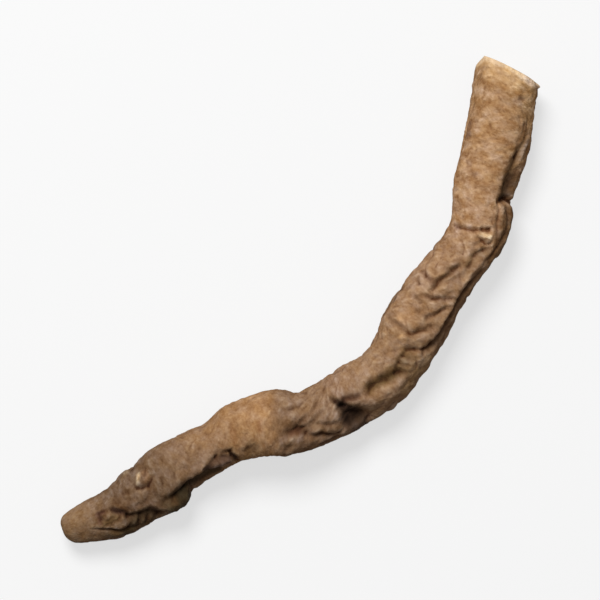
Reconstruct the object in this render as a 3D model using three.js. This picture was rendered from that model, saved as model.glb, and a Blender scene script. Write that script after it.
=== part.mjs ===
// A dried polygala root: one solid, lying at rest on the ground.
// Millimetres, +Z up. The origin is on the ground, under the middle of the root's box.
//
// The root is one skin of closed rings. The skin starts at the blind end of the hollow, comes out
// over the rim of the cut, and runs along the bark to the rounded tip. A place on the bark is given
// by its distance along the route and its angle round the root, in degrees from the top and
// positive towards the outer side of the bow.

import * as THREE from 'three';

// ---- Driving dimensions ------------------------------------------------------------------------

const SIDES = 36; // corners round each ring
const BARK_STEP = 0.72; // distance between rings along the bark
const TIP_AT = 74.4; // where the tip closes, along the route
const TIP_ROUND = 3; // length over which the rings close up on the tip
const TIP_RINGS = 7;
const MEAN_RADIUS = 3.1; // turns an angle round the root into a length on the bark
const LEAST_RADIUS = 0.25; // the deepest furrow leaves at least this much

// The middle line seen from above, from the cut end to the tip.
const ROUTE = [
  [21.6, 25.4],
  [21.1, 21.5],
  [20.4, 17.0],
  [19.3, 12.2],
  [18.3, 8.0],
  [16.6, 4.2],
  [14.2, 1.0],
  [12.0, -2.6],
  [9.9, -6.0],
  [7.2, -9.0],
  [3.7, -11.4],
  [-0.3, -12.8],
  [-4.5, -13.4],
  [-8.3, -14.9],
  [-12.2, -17.4],
  [-16.0, -20.0],
  [-20.0, -22.4],
  [-24.6, -24.0],
];

// at: distance along the route. inner, outer: half widths on the two sides of the bow.
// high: half height. gap: what is left under the root; below 0 the bark is flattened by its rest.
const SECTIONS = [
  { at: 0, inner: 3.35, outer: 3.15, high: 3.0, gap: 0.5 },
  { at: 3, inner: 3.55, outer: 3.25, high: 3.1, gap: 0.3 },
  { at: 6, inner: 3.55, outer: 3.25, high: 3.1, gap: 0.1 },
  { at: 9, inner: 3.6, outer: 3.5, high: 3.1, gap: -0.05 },
  { at: 12, inner: 3.55, outer: 3.3, high: 3.1, gap: -0.15 },
  { at: 15, inner: 3.45, outer: 2.95, high: 3.0, gap: 0 },
  { at: 18, inner: 2.95, outer: 3.4, high: 3.0, gap: 0.1 },
  { at: 20, inner: 2.65, outer: 3.35, high: 2.9, gap: 0.3 },
  { at: 22.5, inner: 2.9, outer: 2.95, high: 2.9, gap: 0.45 },
  { at: 26, inner: 3.15, outer: 3.0, high: 3.0, gap: 0.45 },
  { at: 29, inner: 3.35, outer: 3.2, high: 3.1, gap: 0.3 },
  { at: 31.5, inner: 3.5, outer: 3.3, high: 3.1, gap: 0.1 },
  { at: 34.5, inner: 2.9, outer: 3.2, high: 3.1, gap: -0.1 },
  { at: 37, inner: 2.85, outer: 3.4, high: 3.0, gap: -0.2 },
  { at: 39, inner: 3.2, outer: 3.2, high: 3.0, gap: -0.15 },
  { at: 40.5, inner: 3.35, outer: 2.9, high: 2.9, gap: 0 },
  { at: 42, inner: 3.2, outer: 3.1, high: 2.9, gap: 0.1 },
  { at: 43.5, inner: 3.0, outer: 3.05, high: 2.8, gap: 0.3 },
  { at: 46.5, inner: 2.7, outer: 3.25, high: 2.9, gap: 0.5 },
  { at: 48.7, inner: 3.35, outer: 3.55, high: 3.0, gap: 0.6 },
  { at: 51.5, inner: 3.0, outer: 3.3, high: 3.0, gap: 0.5 },
  { at: 54, inner: 2.95, outer: 2.95, high: 2.8, gap: 0.4 },
  { at: 55.7, inner: 2.3, outer: 2.9, high: 2.7, gap: 0.3 },
  { at: 58.5, inner: 2.95, outer: 2.8, high: 2.7, gap: 0.05 },
  { at: 60.5, inner: 3.25, outer: 2.75, high: 2.7, gap: 0 },
  { at: 61.8, inner: 3.45, outer: 3.4, high: 2.8, gap: -0.05 },
  { at: 63.5, inner: 3.2, outer: 3.35, high: 2.8, gap: -0.15 },
  { at: 66, inner: 2.8, outer: 3.1, high: 2.6, gap: -0.1 },
  { at: 69, inner: 2.3, outer: 2.95, high: 2.2, gap: 0 },
  { at: 71, inner: 2.1, outer: 2.4, high: 1.9, gap: 0.3 },
  { at: 72.6, inner: 1.65, outer: 2.15, high: 1.55, gap: 0.65 },
  { at: 73.7, inner: 1.3, outer: 1.75, high: 1.15, gap: 1.05 },
  { at: 74.2, inner: 0.8, outer: 1.15, high: 0.7, gap: 1.5 },
  { at: TIP_AT, inner: 0, outer: 0, high: 0, gap: 2.0 },
];

// The slanting cut: where it crosses the middle line, and how far it leans.
const CUT = {
  at: 1.95,
  lean_sideways: 0.36,
  lean_down: 0.05,
  straight_after: 7,
  corner: 2.75,
  corner_fall: 1.6,
};

// The blind hollow in the cut end. Each ring: depth behind the cut, and half widths.
const RIM = { round: 0.25, sink: 0.2 };
const HOLLOW = {
  off_middle: 0.3,
  off_top: 0.2,
  rings: [
    { depth: 0.3, across: 1.35, high: 1.55 },
    { depth: 1.2, across: 1.1, high: 1.3 },
    { depth: 3, across: 1.0, high: 1.25 },
    { depth: 5.5, across: 0.9, high: 1.1 },
    { depth: 8, across: 0.7, high: 0.85 },
    { depth: 9.3, across: 0.4, high: 0.5 },
  ],
  blind_end: 9.8,
};

// Furrows, folds and cracks. A negative depth is a ridge. path: [distance along, angle] points.
const FURROWS = [
  {
    what: 'slit along the outer side',
    depth: 0.55,
    width: 0.55,
    path: [[7, 60], [8.2, 52], [9.4, 45], [11, 39], [13, 38], [15.3, 36]],
  },
  {
    what: 'hollow outside the slit',
    depth: 0.3,
    width: 0.6,
    path: [[11.6, 56], [13, 53], [15.2, 50]],
  },
  {
    what: 'lip outside the slit',
    depth: -0.15,
    width: 0.5,
    path: [[8.4, 64], [10, 56], [11.3, 50]],
  },
  {
    what: 'notch at the end of the slit',
    depth: 0.8,
    width: 0.55,
    path: [[15.6, 27], [15.4, 60], [15.2, 98]],
  },
  {
    what: 'groove on the second lip',
    depth: 0.2,
    width: 0.5,
    path: [[15.9, 30], [17, 33], [19.3, 44]],
  },
  { what: 'groove outside it', depth: 0.2, width: 0.5, path: [[16.1, 52], [18, 60], [20.2, 54]] },
  {
    what: 'crack across the bend',
    depth: 0.3,
    width: 0.45,
    path: [[19.2, -52], [19, -15], [18.5, 8], [18.2, 24]],
  },
  {
    what: 'arc past the chip',
    depth: 0.25,
    width: 0.45,
    path: [[19.15, 8], [19.5, 24], [19.35, 36]],
  },
  {
    what: 'furrow beside the ridge',
    depth: 0.22,
    width: 0.5,
    path: [[20, 38], [21.1, 22], [22.6, 22]],
  },
  {
    what: 'ridge along the outer side',
    depth: -0.18,
    width: 0.5,
    path: [[20.2, 46], [22.5, 34], [25.5, 37], [29, 44], [31, 40]],
  },
  {
    what: 'long fold, outer side',
    depth: 0.5,
    width: 0.55,
    path: [[22.2, 58], [24, 52], [28, 58], [30, 57], [32.7, 42]],
  },
  {
    what: 'first crease',
    depth: 0.34,
    width: 0.45,
    path: [[22.3, 4], [23.5, 0], [24.9, -10], [26.3, -10]],
  },
  { what: 'second crease', depth: 0.2, width: 0.45, path: [[23.4, 20], [24.6, 6], [25.4, -3]] },
  { what: 'short crease, inner side', depth: 0.2, width: 0.45, path: [[25.15, -55], [25.5, -18]] },
  { what: 'third crease', depth: 0.32, width: 0.45, path: [[27.35, -20], [26.9, 4], [25.6, 38]] },
  { what: 'fourth crease', depth: 0.3, width: 0.45, path: [[29.2, 11], [28.5, 20], [26.8, 37]] },
  {
    what: 'hollow after the blister',
    depth: 0.2,
    width: 0.45,
    path: [[31.3, -56], [31.7, -30], [31.8, -8]],
  },
  { what: 'fifth crease', depth: 0.3, width: 0.45, path: [[31.9, -4], [31.1, 10], [30, 26]] },
  { what: 'sixth crease', depth: 0.28, width: 0.45, path: [[33.4, 6], [32.7, 28], [32.3, 40]] },
  { what: 'trench', depth: 0.75, width: 0.65, path: [[39.1, 5], [37.6, 0], [36.3, 8], [35.2, 20]] },
  {
    what: 'shallow end of the trench',
    depth: 0.35,
    width: 0.5,
    path: [[35.5, 12], [34.6, 9], [33, 5]],
  },
  {
    what: 'furrow above the cavern',
    depth: 0.4,
    width: 0.45,
    path: [[41.7, -10], [40.3, -2], [39.7, 2]],
  },
  { what: 'upper end of the cavern', depth: 0.6, width: 0.5, path: [[42.7, -22], [42.1, 2]] },
  {
    what: 'middle of the cavern',
    depth: 0.7,
    width: 0.7,
    path: [[42.1, 2], [41.6, 28], [41.5, 58]],
  },
  {
    what: 'cavern, towards the cut',
    depth: 0.7,
    width: 0.8,
    path: [[41.2, 22], [40.8, 50], [40.7, 64]],
  },
  { what: 'cavern, towards the tip', depth: 0.5, width: 0.6, path: [[42.2, 22], [42.4, 60]] },
  {
    what: 'slanting crease, inner side',
    depth: 0.16,
    width: 0.45,
    path: [[42.9, -58], [43.6, -30]],
  },
  { what: 'slanting crease, top', depth: 0.18, width: 0.45, path: [[44.3, -8], [45.5, 9]] },
  { what: 'upper wavy fold', depth: 0.25, width: 0.5, path: [[45.7, 10], [44, 26], [43.3, 34]] },
  { what: 'lower wavy fold', depth: 0.42, width: 0.45, path: [[46.3, 33], [45, 42], [43.5, 60]] },
  { what: 'fold by the outer edge', depth: 0.3, width: 0.45, path: [[45.4, 62], [43, 76]] },
  { what: 'shallow valley', depth: 0.3, width: 0.7, path: [[49.3, 0], [47.3, 9], [45.8, 20]] },
  {
    what: 'fold before the bulge',
    depth: 0.34,
    width: 0.45,
    path: [[48.2, 23], [46.9, 16], [46, 28]],
  },
  { what: 'dent beside it', depth: 0.26, width: 0.45, path: [[48.6, 44], [47.3, 43]] },
  {
    what: 'valley before the bulge',
    depth: 0.2,
    width: 0.5,
    path: [[48.8, -50], [49.3, -8], [50, 26]],
  },
  { what: 'dent under the bulge', depth: 0.3, width: 0.6, path: [[53.2, 46], [51.9, 36]] },
  {
    what: 'notch after the bulge',
    depth: 0.55,
    width: 0.45,
    path: [[54.6, 28], [54.4, 58], [54.3, 76]],
  },
  {
    what: 'arched fold',
    depth: 0.32,
    width: 0.45,
    path: [[58.1, 38], [56.8, 24], [56.1, 19], [54.7, 31]],
  },
  { what: 'fold inside the arch', depth: 0.3, width: 0.45, path: [[56.6, 25], [54.9, 42]] },
  {
    what: 'dark band above the side lobe',
    depth: 0.8,
    width: 0.6,
    path: [[62.6, 37], [61, 42], [59, 47], [57, 56]],
  },
  {
    what: 'hollow under the band',
    depth: 0.55,
    width: 0.7,
    path: [[60.4, 60], [59, 66], [55.6, 66]],
  },
  { what: 'start of the side lobe', depth: 0.35, width: 0.45, path: [[60.75, 50], [60.7, 95]] },
  {
    what: 'ridge down the side',
    depth: -0.18,
    width: 0.45,
    path: [[64.9, 28], [63.8, 54], [63.3, 70]],
  },
  {
    what: 'ring round the rootlet',
    depth: 0.35,
    width: 0.45,
    path: [[64.9, -28], [64.5, -9], [63.9, -3], [63.35, -8], [63, -20]],
  },
  { what: 'nick on the inner side', depth: 0.2, width: 0.45, path: [[64.4, -56], [64.4, -100]] },
  { what: 'deep wrinkle', depth: 0.65, width: 0.55, path: [[67.4, 27], [65.5, 39], [64.6, 66]] },
  { what: 'wrinkle above it', depth: 0.4, width: 0.45, path: [[68.3, -1], [67.5, 12], [67, 20]] },
  { what: 'dent before the tip', depth: 0.26, width: 0.45, path: [[69.8, 5], [69.1, -5]] },
  {
    what: 'last fold',
    depth: 0.38,
    width: 0.45,
    path: [[71.2, 28], [69, 45], [67.4, 60], [66, 64]],
  },
  {
    what: 'long furrow, inner side',
    depth: 0.2,
    width: 0.6,
    path: [[22, -112], [27, -104], [33, -116], [38, -106]],
  },
  {
    what: 'long furrow, outer side',
    depth: 0.3,
    width: 0.6,
    path: [[21, 84], [25, 88], [29, 80], [33, 86]],
  },
  {
    what: 'underside furrow, cut end',
    depth: 0.35,
    width: 0.6,
    path: [[1.5, 128], [8, 140], [15, 128], [21, 142]],
  },
  {
    what: 'underside furrow, bend',
    depth: 0.4,
    width: 0.7,
    path: [[20, -128], [27, -142], [35, -124], [43, -136]],
  },
  {
    what: 'underside furrow, outer side',
    depth: 0.35,
    width: 0.6,
    path: [[36, 126], [44, 140], [51, 122], [58, 134]],
  },
  {
    what: 'underside furrow, tip',
    depth: 0.35,
    width: 0.6,
    path: [[50, -120], [57, -138], [64, -122], [69, -134]],
  },
  {
    what: 'underside crease, first',
    depth: 0.3,
    width: 0.5,
    path: [[24, 120], [25, 160], [24.2, -160]],
  },
  {
    what: 'underside crease, second',
    depth: 0.3,
    width: 0.5,
    path: [[46, 150], [47, -170], [45.8, -130]],
  },
  { what: 'underside crease, third', depth: 0.3, width: 0.5, path: [[56, 152], [55.2, -168]] },
];

// Swellings of the bark: half lengths along the root and round it, and height.
const SWELLINGS = [
  { what: 'frayed corner of the cut', at: 2.3, angle: 84, along: 0.5, round: 0.5, height: 0.3 },
  { what: 'second lip', at: 17.2, angle: 70, along: 1.5, round: 0.8, height: 0.2 },
  { what: 'chip by the crack', at: 18.95, angle: 21, along: 0.4, round: 0.5, height: 0.15 },
  { what: 'blister', at: 30.2, angle: -18, along: 1.6, round: 2, height: 0.3 },
  { what: 'knob after the blister', at: 32.3, angle: -12, along: 0.5, round: 0.6, height: 0.12 },
  { what: 'lower lobe of the trench', at: 37.8, angle: 28, along: 1.9, round: 1.1, height: 0.32 },
  { what: 'upper lip of the cavern', at: 40.6, angle: -18, along: 2.2, round: 1.8, height: 0.3 },
  { what: 'lobe under the wavy folds', at: 47.8, angle: 58, along: 2.4, round: 1, height: 0.25 },
  { what: 'smooth bulge', at: 51.4, angle: -14, along: 3.2, round: 2.6, height: 0.3 },
  { what: 'shoulder of the bulge', at: 53.8, angle: -66, along: 1, round: 1, height: 0.12 },
  { what: 'side lobe', at: 62.3, angle: 66, along: 1.4, round: 1.1, height: 0.4 },
  { what: "rootlet's stub", at: 63.9, angle: -25, along: 0.5, round: 0.7, height: 0.42 },
  { what: 'bump on the inner side', at: 65.4, angle: -72, along: 0.6, round: 0.9, height: 0.2 },
  { what: 'underside swelling, bend', at: 28, angle: 150, along: 4, round: 2, height: 0.25 },
  { what: 'underside swelling, middle', at: 50, angle: -160, along: 3, round: 2, height: 0.3 },
];

// The root isn't round: slow waves that turn as they run along it.
const WAVES = [
  { lobes: 2, height: 0.07, turn_per_mm: 0.11, start: 0.6 },
  { lobes: 3, height: 0.06, turn_per_mm: -0.17, start: 2.1 },
  { lobes: 5, height: 0.04, turn_per_mm: 0.23, start: 4.0 },
];

// ---- Sizes along the route ---------------------------------------------------------------------

const route = new THREE.CatmullRomCurve3(
  ROUTE.map(([x, y]) => new THREE.Vector3(x, y, 0)),
  false,
  'catmullrom',
  0.5,
);
route.arcLengthDivisions = 800;
const routeLength = route.getLength();

/** The value of one column of SECTIONS at a distance along the route, on a smooth curve. */
function sizeAt(at, column) {
  const last = SECTIONS.length - 1;
  const inside = THREE.MathUtils.clamp(at, 0, TIP_AT);
  let row = 0;
  while (row < last - 1 && SECTIONS[row + 1].at <= inside) row += 1;
  const slopeAt = (i) => {
    const before = SECTIONS[Math.max(i - 1, 0)];
    const after = SECTIONS[Math.min(i + 1, last)];
    return (after[column] - before[column]) / (after.at - before.at);
  };
  const from = SECTIONS[row];
  const to = SECTIONS[row + 1];
  const span = to.at - from.at;
  const t = (inside - from.at) / span;
  const rise = slopeAt(row) * span * t * (1 - t) * (1 - t);
  const fall = slopeAt(row + 1) * span * t * t * (1 - t);
  return from[column] * (1 - t) * (1 - t) * (1 + 2 * t) + to[column] * t * t * (3 - 2 * t) + rise - fall;
}

/** The middle line's point, the way it runs, and the sideways direction towards the outer side. */
function middleAt(at) {
  const share = THREE.MathUtils.clamp(at / routeLength, 0, 1);
  const point = route.getPointAt(share);
  const forward = route.getTangentAt(share);
  point.addScaledVector(forward, at - share * routeLength);
  point.z = sizeAt(at, 'high') + sizeAt(at, 'gap');
  const outwards = new THREE.Vector3(-forward.y, forward.x, 0);
  return { point, outwards };
}

// ---- Relief of the bark ------------------------------------------------------------------------

/** The difference of two angles in degrees, from -180 to 180. */
function turnBetween(from, to) {
  return ((((to - from + 180) % 360) + 360) % 360) - 180;
}

/** The length on the bark of an angle round the root. */
function girth(angle) {
  return THREE.MathUtils.degToRad(angle) * MEAN_RADIUS;
}

/** The distance on the bark from a place to a furrow's path. */
function distanceTo(path, at, angle) {
  let nearest = Infinity;
  for (let i = 0; i + 1 < path.length; i += 1) {
    const [startAt, startAngle] = path[i];
    const [endAt, endAngle] = path[i + 1];
    const runAlong = endAt - startAt;
    const runRound = girth(turnBetween(startAngle, endAngle));
    const offAlong = at - startAt;
    const offRound = girth(turnBetween(startAngle, angle));
    const share = (offAlong * runAlong + offRound * runRound) / (runAlong ** 2 + runRound ** 2);
    const t = THREE.MathUtils.clamp(share, 0, 1);
    nearest = Math.min(nearest, Math.hypot(offAlong - t * runAlong, offRound - t * runRound));
  }
  return nearest;
}

/** How far the bark stands out of its plain section at a place; furrows are below 0. */
function reliefAt(at, angle) {
  let relief = 0;
  for (const furrow of FURROWS) {
    relief -= furrow.depth * Math.exp(-((distanceTo(furrow.path, at, angle) / furrow.width) ** 2));
  }
  for (const swelling of SWELLINGS) {
    const along = (at - swelling.at) / swelling.along;
    const round = girth(turnBetween(swelling.angle, angle)) / swelling.round;
    relief += swelling.height * Math.exp(-along * along - round * round);
  }
  for (const wave of WAVES) {
    const turned = wave.lobes * THREE.MathUtils.degToRad(angle) + wave.start + wave.turn_per_mm * at;
    relief += wave.height * Math.sin(turned);
  }
  return relief;
}

// ---- Rings -------------------------------------------------------------------------------------

/** How far a ring near the cut is carried along by the slanting cut, at a place on its section. */
function slantAt(at, sideways, up) {
  const fade = THREE.MathUtils.clamp(1 - (at - CUT.at) / CUT.straight_after, 0, 1);
  const corner = Math.max(0, -sideways - CUT.corner) * CUT.corner_fall;
  return fade * (CUT.lean_sideways * sideways - CUT.lean_down * up + corner);
}

/** A point of a section: sideways and up from the middle line, at a distance along the route. */
function pointAt(at, sideways, up) {
  const { point, outwards } = middleAt(at + slantAt(at, sideways, up));
  point.addScaledVector(outwards, sideways);
  point.z = Math.max(point.z + up, 0);
  return point;
}

/** A ring of points, one for each corner; place gives a corner's distance, sideways and up. */
function ringOf(place) {
  return Array.from({ length: SIDES }, (_, corner) => {
    const angle = (360 * corner) / SIDES;
    return pointAt(...place(angle, THREE.MathUtils.degToRad(angle)));
  });
}

/** One ring of the bark. */
function barkRing(at, scale = 1) {
  return ringOf((angle, turn) => {
    const across = Math.sin(turn) > 0 ? sizeAt(at, 'outer') : sizeAt(at, 'inner');
    const high = sizeAt(at, 'high');
    const plain = Math.hypot(across * Math.sin(turn), high * Math.cos(turn));
    const fade = Math.min(1, plain / MEAN_RADIUS);
    const share = Math.max(LEAST_RADIUS, plain + fade * reliefAt(at, angle)) / Math.max(plain, LEAST_RADIUS);
    return [at, scale * share * across * Math.sin(turn), scale * share * high * Math.cos(turn)];
  });
}

/** One ring of the hollow's wall. */
function hollowRing({ depth, across, high }) {
  return ringOf((angle, turn) => {
    const uneven = 1 + 0.12 * Math.sin(3 * turn + depth) + 0.08 * Math.sin(5 * turn + 1);
    const sideways = HOLLOW.off_middle + across * uneven * Math.sin(turn);
    const up = HOLLOW.off_top + high * uneven * Math.cos(turn);
    return [CUT.at + depth, sideways, up];
  });
}

/** Distances along the bark of its rings: evenly spaced, then closing up on the tip. */
function barkDistances() {
  const start = CUT.at + RIM.round;
  const end = TIP_AT - TIP_ROUND;
  const steps = Math.round((end - start) / BARK_STEP);
  const even = Array.from({ length: steps + 1 }, (_, i) => start + ((end - start) * i) / steps);
  const closing = Array.from({ length: TIP_RINGS }, (_, i) => {
    const turn = ((i + 1) / (TIP_RINGS + 1)) * (Math.PI / 2);
    return end + TIP_ROUND * Math.sin(turn);
  });
  return [...even, ...closing];
}

/** A closed skin over rings, with a point at each end. The rings run outwards round the skin. */
function skinOver(firstPoint, rings, lastPoint) {
  const points = [firstPoint, ...rings.flat(), lastPoint];
  const corner = (ring, side) => 1 + ring * SIDES + (side % SIDES);
  const triangles = [];
  for (let side = 0; side < SIDES; side += 1) {
    triangles.push(0, corner(0, side), corner(0, side + 1));
    for (let ring = 0; ring + 1 < rings.length; ring += 1) {
      triangles.push(corner(ring, side), corner(ring + 1, side), corner(ring + 1, side + 1));
      triangles.push(corner(ring, side), corner(ring + 1, side + 1), corner(ring, side + 1));
    }
    triangles.push(corner(rings.length - 1, side), points.length - 1, corner(rings.length - 1, side + 1));
  }
  const geometry = new THREE.BufferGeometry().setFromPoints(points);
  geometry.setIndex(triangles);
  geometry.computeVertexNormals();
  return geometry;
}

// ---- The root ----------------------------------------------------------------------------------

/** The root's solid, moved so that the middle of its box stands over the origin. */
function rootGeometry() {
  const blindEnd = pointAt(CUT.at + HOLLOW.blind_end, HOLLOW.off_middle, HOLLOW.off_top);
  const hollow = [...HOLLOW.rings].reverse().map(hollowRing);
  const rim = barkRing(CUT.at, 1 - RIM.sink / MEAN_RADIUS);
  const bark = barkDistances().map((at) => barkRing(at));
  const tip = pointAt(TIP_AT, 0, 0);
  const geometry = skinOver(blindEnd, [...hollow, rim, ...bark], tip);
  geometry.computeBoundingBox();
  const middle = geometry.boundingBox.getCenter(new THREE.Vector3());
  geometry.translate(-middle.x, -middle.y, -geometry.boundingBox.min.z);
  return geometry;
}

const bark = new THREE.MeshStandardMaterial({ color: 0xa47f5e, roughness: 0.9, metalness: 0 });

const polygalaRoot = new THREE.Mesh(rootGeometry(), bark);
polygalaRoot.name = 'polygala_root';

const model = new THREE.Group();
model.add(polygalaRoot);

export default model;
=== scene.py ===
"""A dried polygala root lying at rest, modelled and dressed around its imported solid.

The root is modelled straight, along +X and in millimetres, as a chain of rings. It is subdivided,
its bark is worked in code, and it is then bent along its route and laid in the solid's box. A place
on the bark is given by its distance along the route and its angle round the root, in degrees from
the top and positive towards the outer side of the bow.
"""

from __future__ import annotations

import logging
import math
from dataclasses import dataclass
from enum import Enum
from typing import NamedTuple, Sequence, Union

import bpy
import numpy as np
from mathutils import Matrix, Vector, noise


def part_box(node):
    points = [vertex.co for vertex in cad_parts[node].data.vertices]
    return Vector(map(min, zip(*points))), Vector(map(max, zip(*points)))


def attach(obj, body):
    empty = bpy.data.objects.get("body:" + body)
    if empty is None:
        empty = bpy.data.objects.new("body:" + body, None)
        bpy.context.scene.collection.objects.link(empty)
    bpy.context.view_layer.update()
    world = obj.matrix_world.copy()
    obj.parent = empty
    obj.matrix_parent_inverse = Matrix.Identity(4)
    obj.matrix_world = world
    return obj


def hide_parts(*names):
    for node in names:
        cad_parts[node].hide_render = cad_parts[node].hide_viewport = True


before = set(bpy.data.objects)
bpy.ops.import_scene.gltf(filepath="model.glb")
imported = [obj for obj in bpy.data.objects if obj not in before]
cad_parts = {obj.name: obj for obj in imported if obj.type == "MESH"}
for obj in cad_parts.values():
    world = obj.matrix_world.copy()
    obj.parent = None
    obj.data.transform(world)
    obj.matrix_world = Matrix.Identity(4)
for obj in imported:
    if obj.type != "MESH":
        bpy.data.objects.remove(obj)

LOG = logging.getLogger("polygala_root")
NODE = "polygala_root"
PIECE = "root_bark"

# A millimetre in metres.
MM = 0.001

# The root's mean radius, and its tip's distance along the route, in millimetres.
MEAN_RADIUS = 3.1
TIP_AT = 74.4

# How soon a line on the bark fades past its ends, and how far along the root it is looked for.
END_FADE = 0.3
FELT_WITHIN = 4.0

# Where a fold's lip starts to rise and where it is full, and how wide the shade painted in its
# groove is to the groove.
LIP_RISE = (-0.1, 0.3)
DARK_WIDTH = 0.8

# How full a short crease is at its ends and in its middle.
CREASE_END = 0.4
CREASE_MIDDLE = 0.9

# Out to where a stain is full and where it is gone, in its own widths.
STAIN_FULL = 0.5
STAIN_GONE = 1.5

# How creased lumps are made of a noise: by a gain, a power and a drop.
CREASED_GAIN = 2.4
CREASED_POWER = 0.85
CREASED_DROP = 0.6

# Where in the noise a seed leads, and the least lengths that are divided by.
SEED_STEP = (1.0, 2.3, -1.7)
LEAST_AWAY = 1e-6
LEAST_RADIUS = 1e-3

Array = np.ndarray
Colour = tuple[float, float, float]
Axes = tuple[float, float, float]
Path = Sequence[tuple[float, ...]]
Strengths = Sequence[tuple[float, float]]


# ---- Small helpers ------------------------------------------------------------------------------


def smooth_step(value: Array, low: float, high: float) -> Array:
    """Return 0 below low, 1 above high, and a smooth rise between."""
    t = np.clip((value - low) / (high - low), 0.0, 1.0)
    return t * t * (3.0 - 2.0 * t)


def turn_between(start: float, end: Array | float) -> Array | float:
    """Return the difference of two angles in degrees, from -180 to 180."""
    return (end - start + 180.0) % 360.0 - 180.0


def girth(angle: Array | float) -> Array | float:
    """Return the length on the bark of an angle round the root, in millimetres."""
    return np.radians(angle) * MEAN_RADIUS


def noise_at(points: Array, seed: float) -> Array:
    """Return one value of smooth noise, about -1 to 1, for each row of points.

    Args:
        points: One place in each row.
        seed: Where in the noise the pattern is taken from.

    Returns:
        The noise at each place.
    """
    shift = Vector([step * seed for step in SEED_STEP])
    return np.array([noise.noise(Vector(p) + shift) for p in points.tolist()])


# ---- The root's sizes ---------------------------------------------------------------------------


@dataclass(frozen=True)
class Section:
    """One cross-section: half widths on the two sides of the bow, half height and gap below."""

    at: float
    inner: float
    outer: float
    high: float
    gap: float


SECTIONS = (
    Section(0, 3.35, 3.15, 3.0, 0.5),
    Section(3, 3.55, 3.25, 3.1, 0.3),
    Section(6, 3.55, 3.25, 3.1, 0.1),
    Section(9, 3.6, 3.5, 3.1, -0.05),
    Section(12, 3.55, 3.3, 3.1, -0.15),
    Section(15, 3.45, 2.95, 3.0, 0.0),
    Section(18, 2.95, 3.4, 3.0, 0.1),
    Section(20, 2.65, 3.35, 2.9, 0.3),
    Section(22.5, 2.9, 2.95, 2.9, 0.45),
    Section(26, 3.15, 3.0, 3.0, 0.45),
    Section(29, 3.35, 3.2, 3.1, 0.3),
    Section(31.5, 3.5, 3.3, 3.1, 0.1),
    Section(34.5, 2.9, 3.2, 3.1, -0.1),
    Section(37, 2.85, 3.4, 3.0, -0.2),
    Section(39, 3.2, 3.2, 3.0, -0.15),
    Section(40.5, 3.35, 2.9, 2.9, 0.0),
    Section(42, 3.2, 3.1, 2.9, 0.1),
    Section(43.5, 3.0, 3.05, 2.8, 0.3),
    Section(46.5, 2.7, 3.25, 2.9, 0.5),
    Section(48.7, 3.35, 3.55, 3.0, 0.6),
    Section(51.5, 3.0, 3.3, 3.0, 0.5),
    Section(54, 2.95, 2.95, 2.8, 0.4),
    Section(55.7, 2.3, 2.9, 2.7, 0.3),
    Section(58.5, 2.95, 2.8, 2.7, 0.05),
    Section(60.5, 3.25, 2.75, 2.7, 0.0),
    Section(61.8, 3.45, 3.4, 2.8, -0.05),
    Section(63.5, 3.2, 3.35, 2.8, -0.15),
    Section(66, 2.8, 3.1, 2.6, -0.1),
    Section(69, 2.3, 2.95, 2.2, 0.0),
    Section(71, 2.1, 2.4, 1.9, 0.3),
    Section(72.6, 1.65, 2.15, 1.55, 0.65),
    Section(73.7, 1.3, 1.75, 1.15, 1.05),
    Section(74.2, 0.8, 1.15, 0.7, 1.5),
    Section(TIP_AT, 0.0, 0.0, 0.0, 2.0),
)

ROUTE = (
    (21.6, 25.4), (21.1, 21.5), (20.4, 17.0), (19.3, 12.2), (18.3, 8.0), (16.6, 4.2),
    (14.2, 1.0), (12.0, -2.6), (9.9, -6.0), (7.2, -9.0), (3.7, -11.4), (-0.3, -12.8),
    (-4.5, -13.4), (-8.3, -14.9), (-12.2, -17.4), (-16.0, -20.0), (-20.0, -22.4), (-24.6, -24.0),
)


@dataclass(frozen=True)
class Profile:
    """The cross-sections along the root, joined by smooth curves."""

    sections: Sequence[Section] = SECTIONS

    def column(self, name: str, at: Array | float) -> Array:
        """Return one size of the cross-section at each distance along the route.

        Args:
            name: The field of Section.
            at: Distances along the route.

        Returns:
            The size at each distance.
        """
        places = np.array([s.at for s in self.sections], float)
        values = np.array([getattr(s, name) for s in self.sections], float)
        before = np.r_[0, np.arange(len(places) - 1)]
        after = np.r_[np.arange(1, len(places)), len(places) - 1]
        slopes = (values[after] - values[before]) / (places[after] - places[before])
        inside = np.clip(at, places[0], places[-1])
        row = np.clip(np.searchsorted(places, inside, side="right") - 1, 0, len(places) - 2)
        span = places[row + 1] - places[row]
        t = (inside - places[row]) / span
        start = values[row] * (1 - t) ** 2 * (1 + 2 * t) + slopes[row] * span * t * (1 - t) ** 2
        end = values[row + 1] * t * t * (3 - 2 * t) - slopes[row + 1] * span * t * t * (1 - t)
        return start + end

    def middle(self, at: Array | float) -> Array:
        """Return the height of the middle line over the ground."""
        return self.column("high", at) + self.column("gap", at)


PROFILE = Profile()


# ---- What is worked into the bark ---------------------------------------------------------------


class Reading(NamedTuple):
    """How places on the bark lie by a path.

    signed is the distance from the path, positive on its left as it runs. share is how full the
    line is at its nearest point. to_along and to_around point towards it.
    """

    signed: Array
    share: Array
    to_along: Array
    to_around: Array


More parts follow.
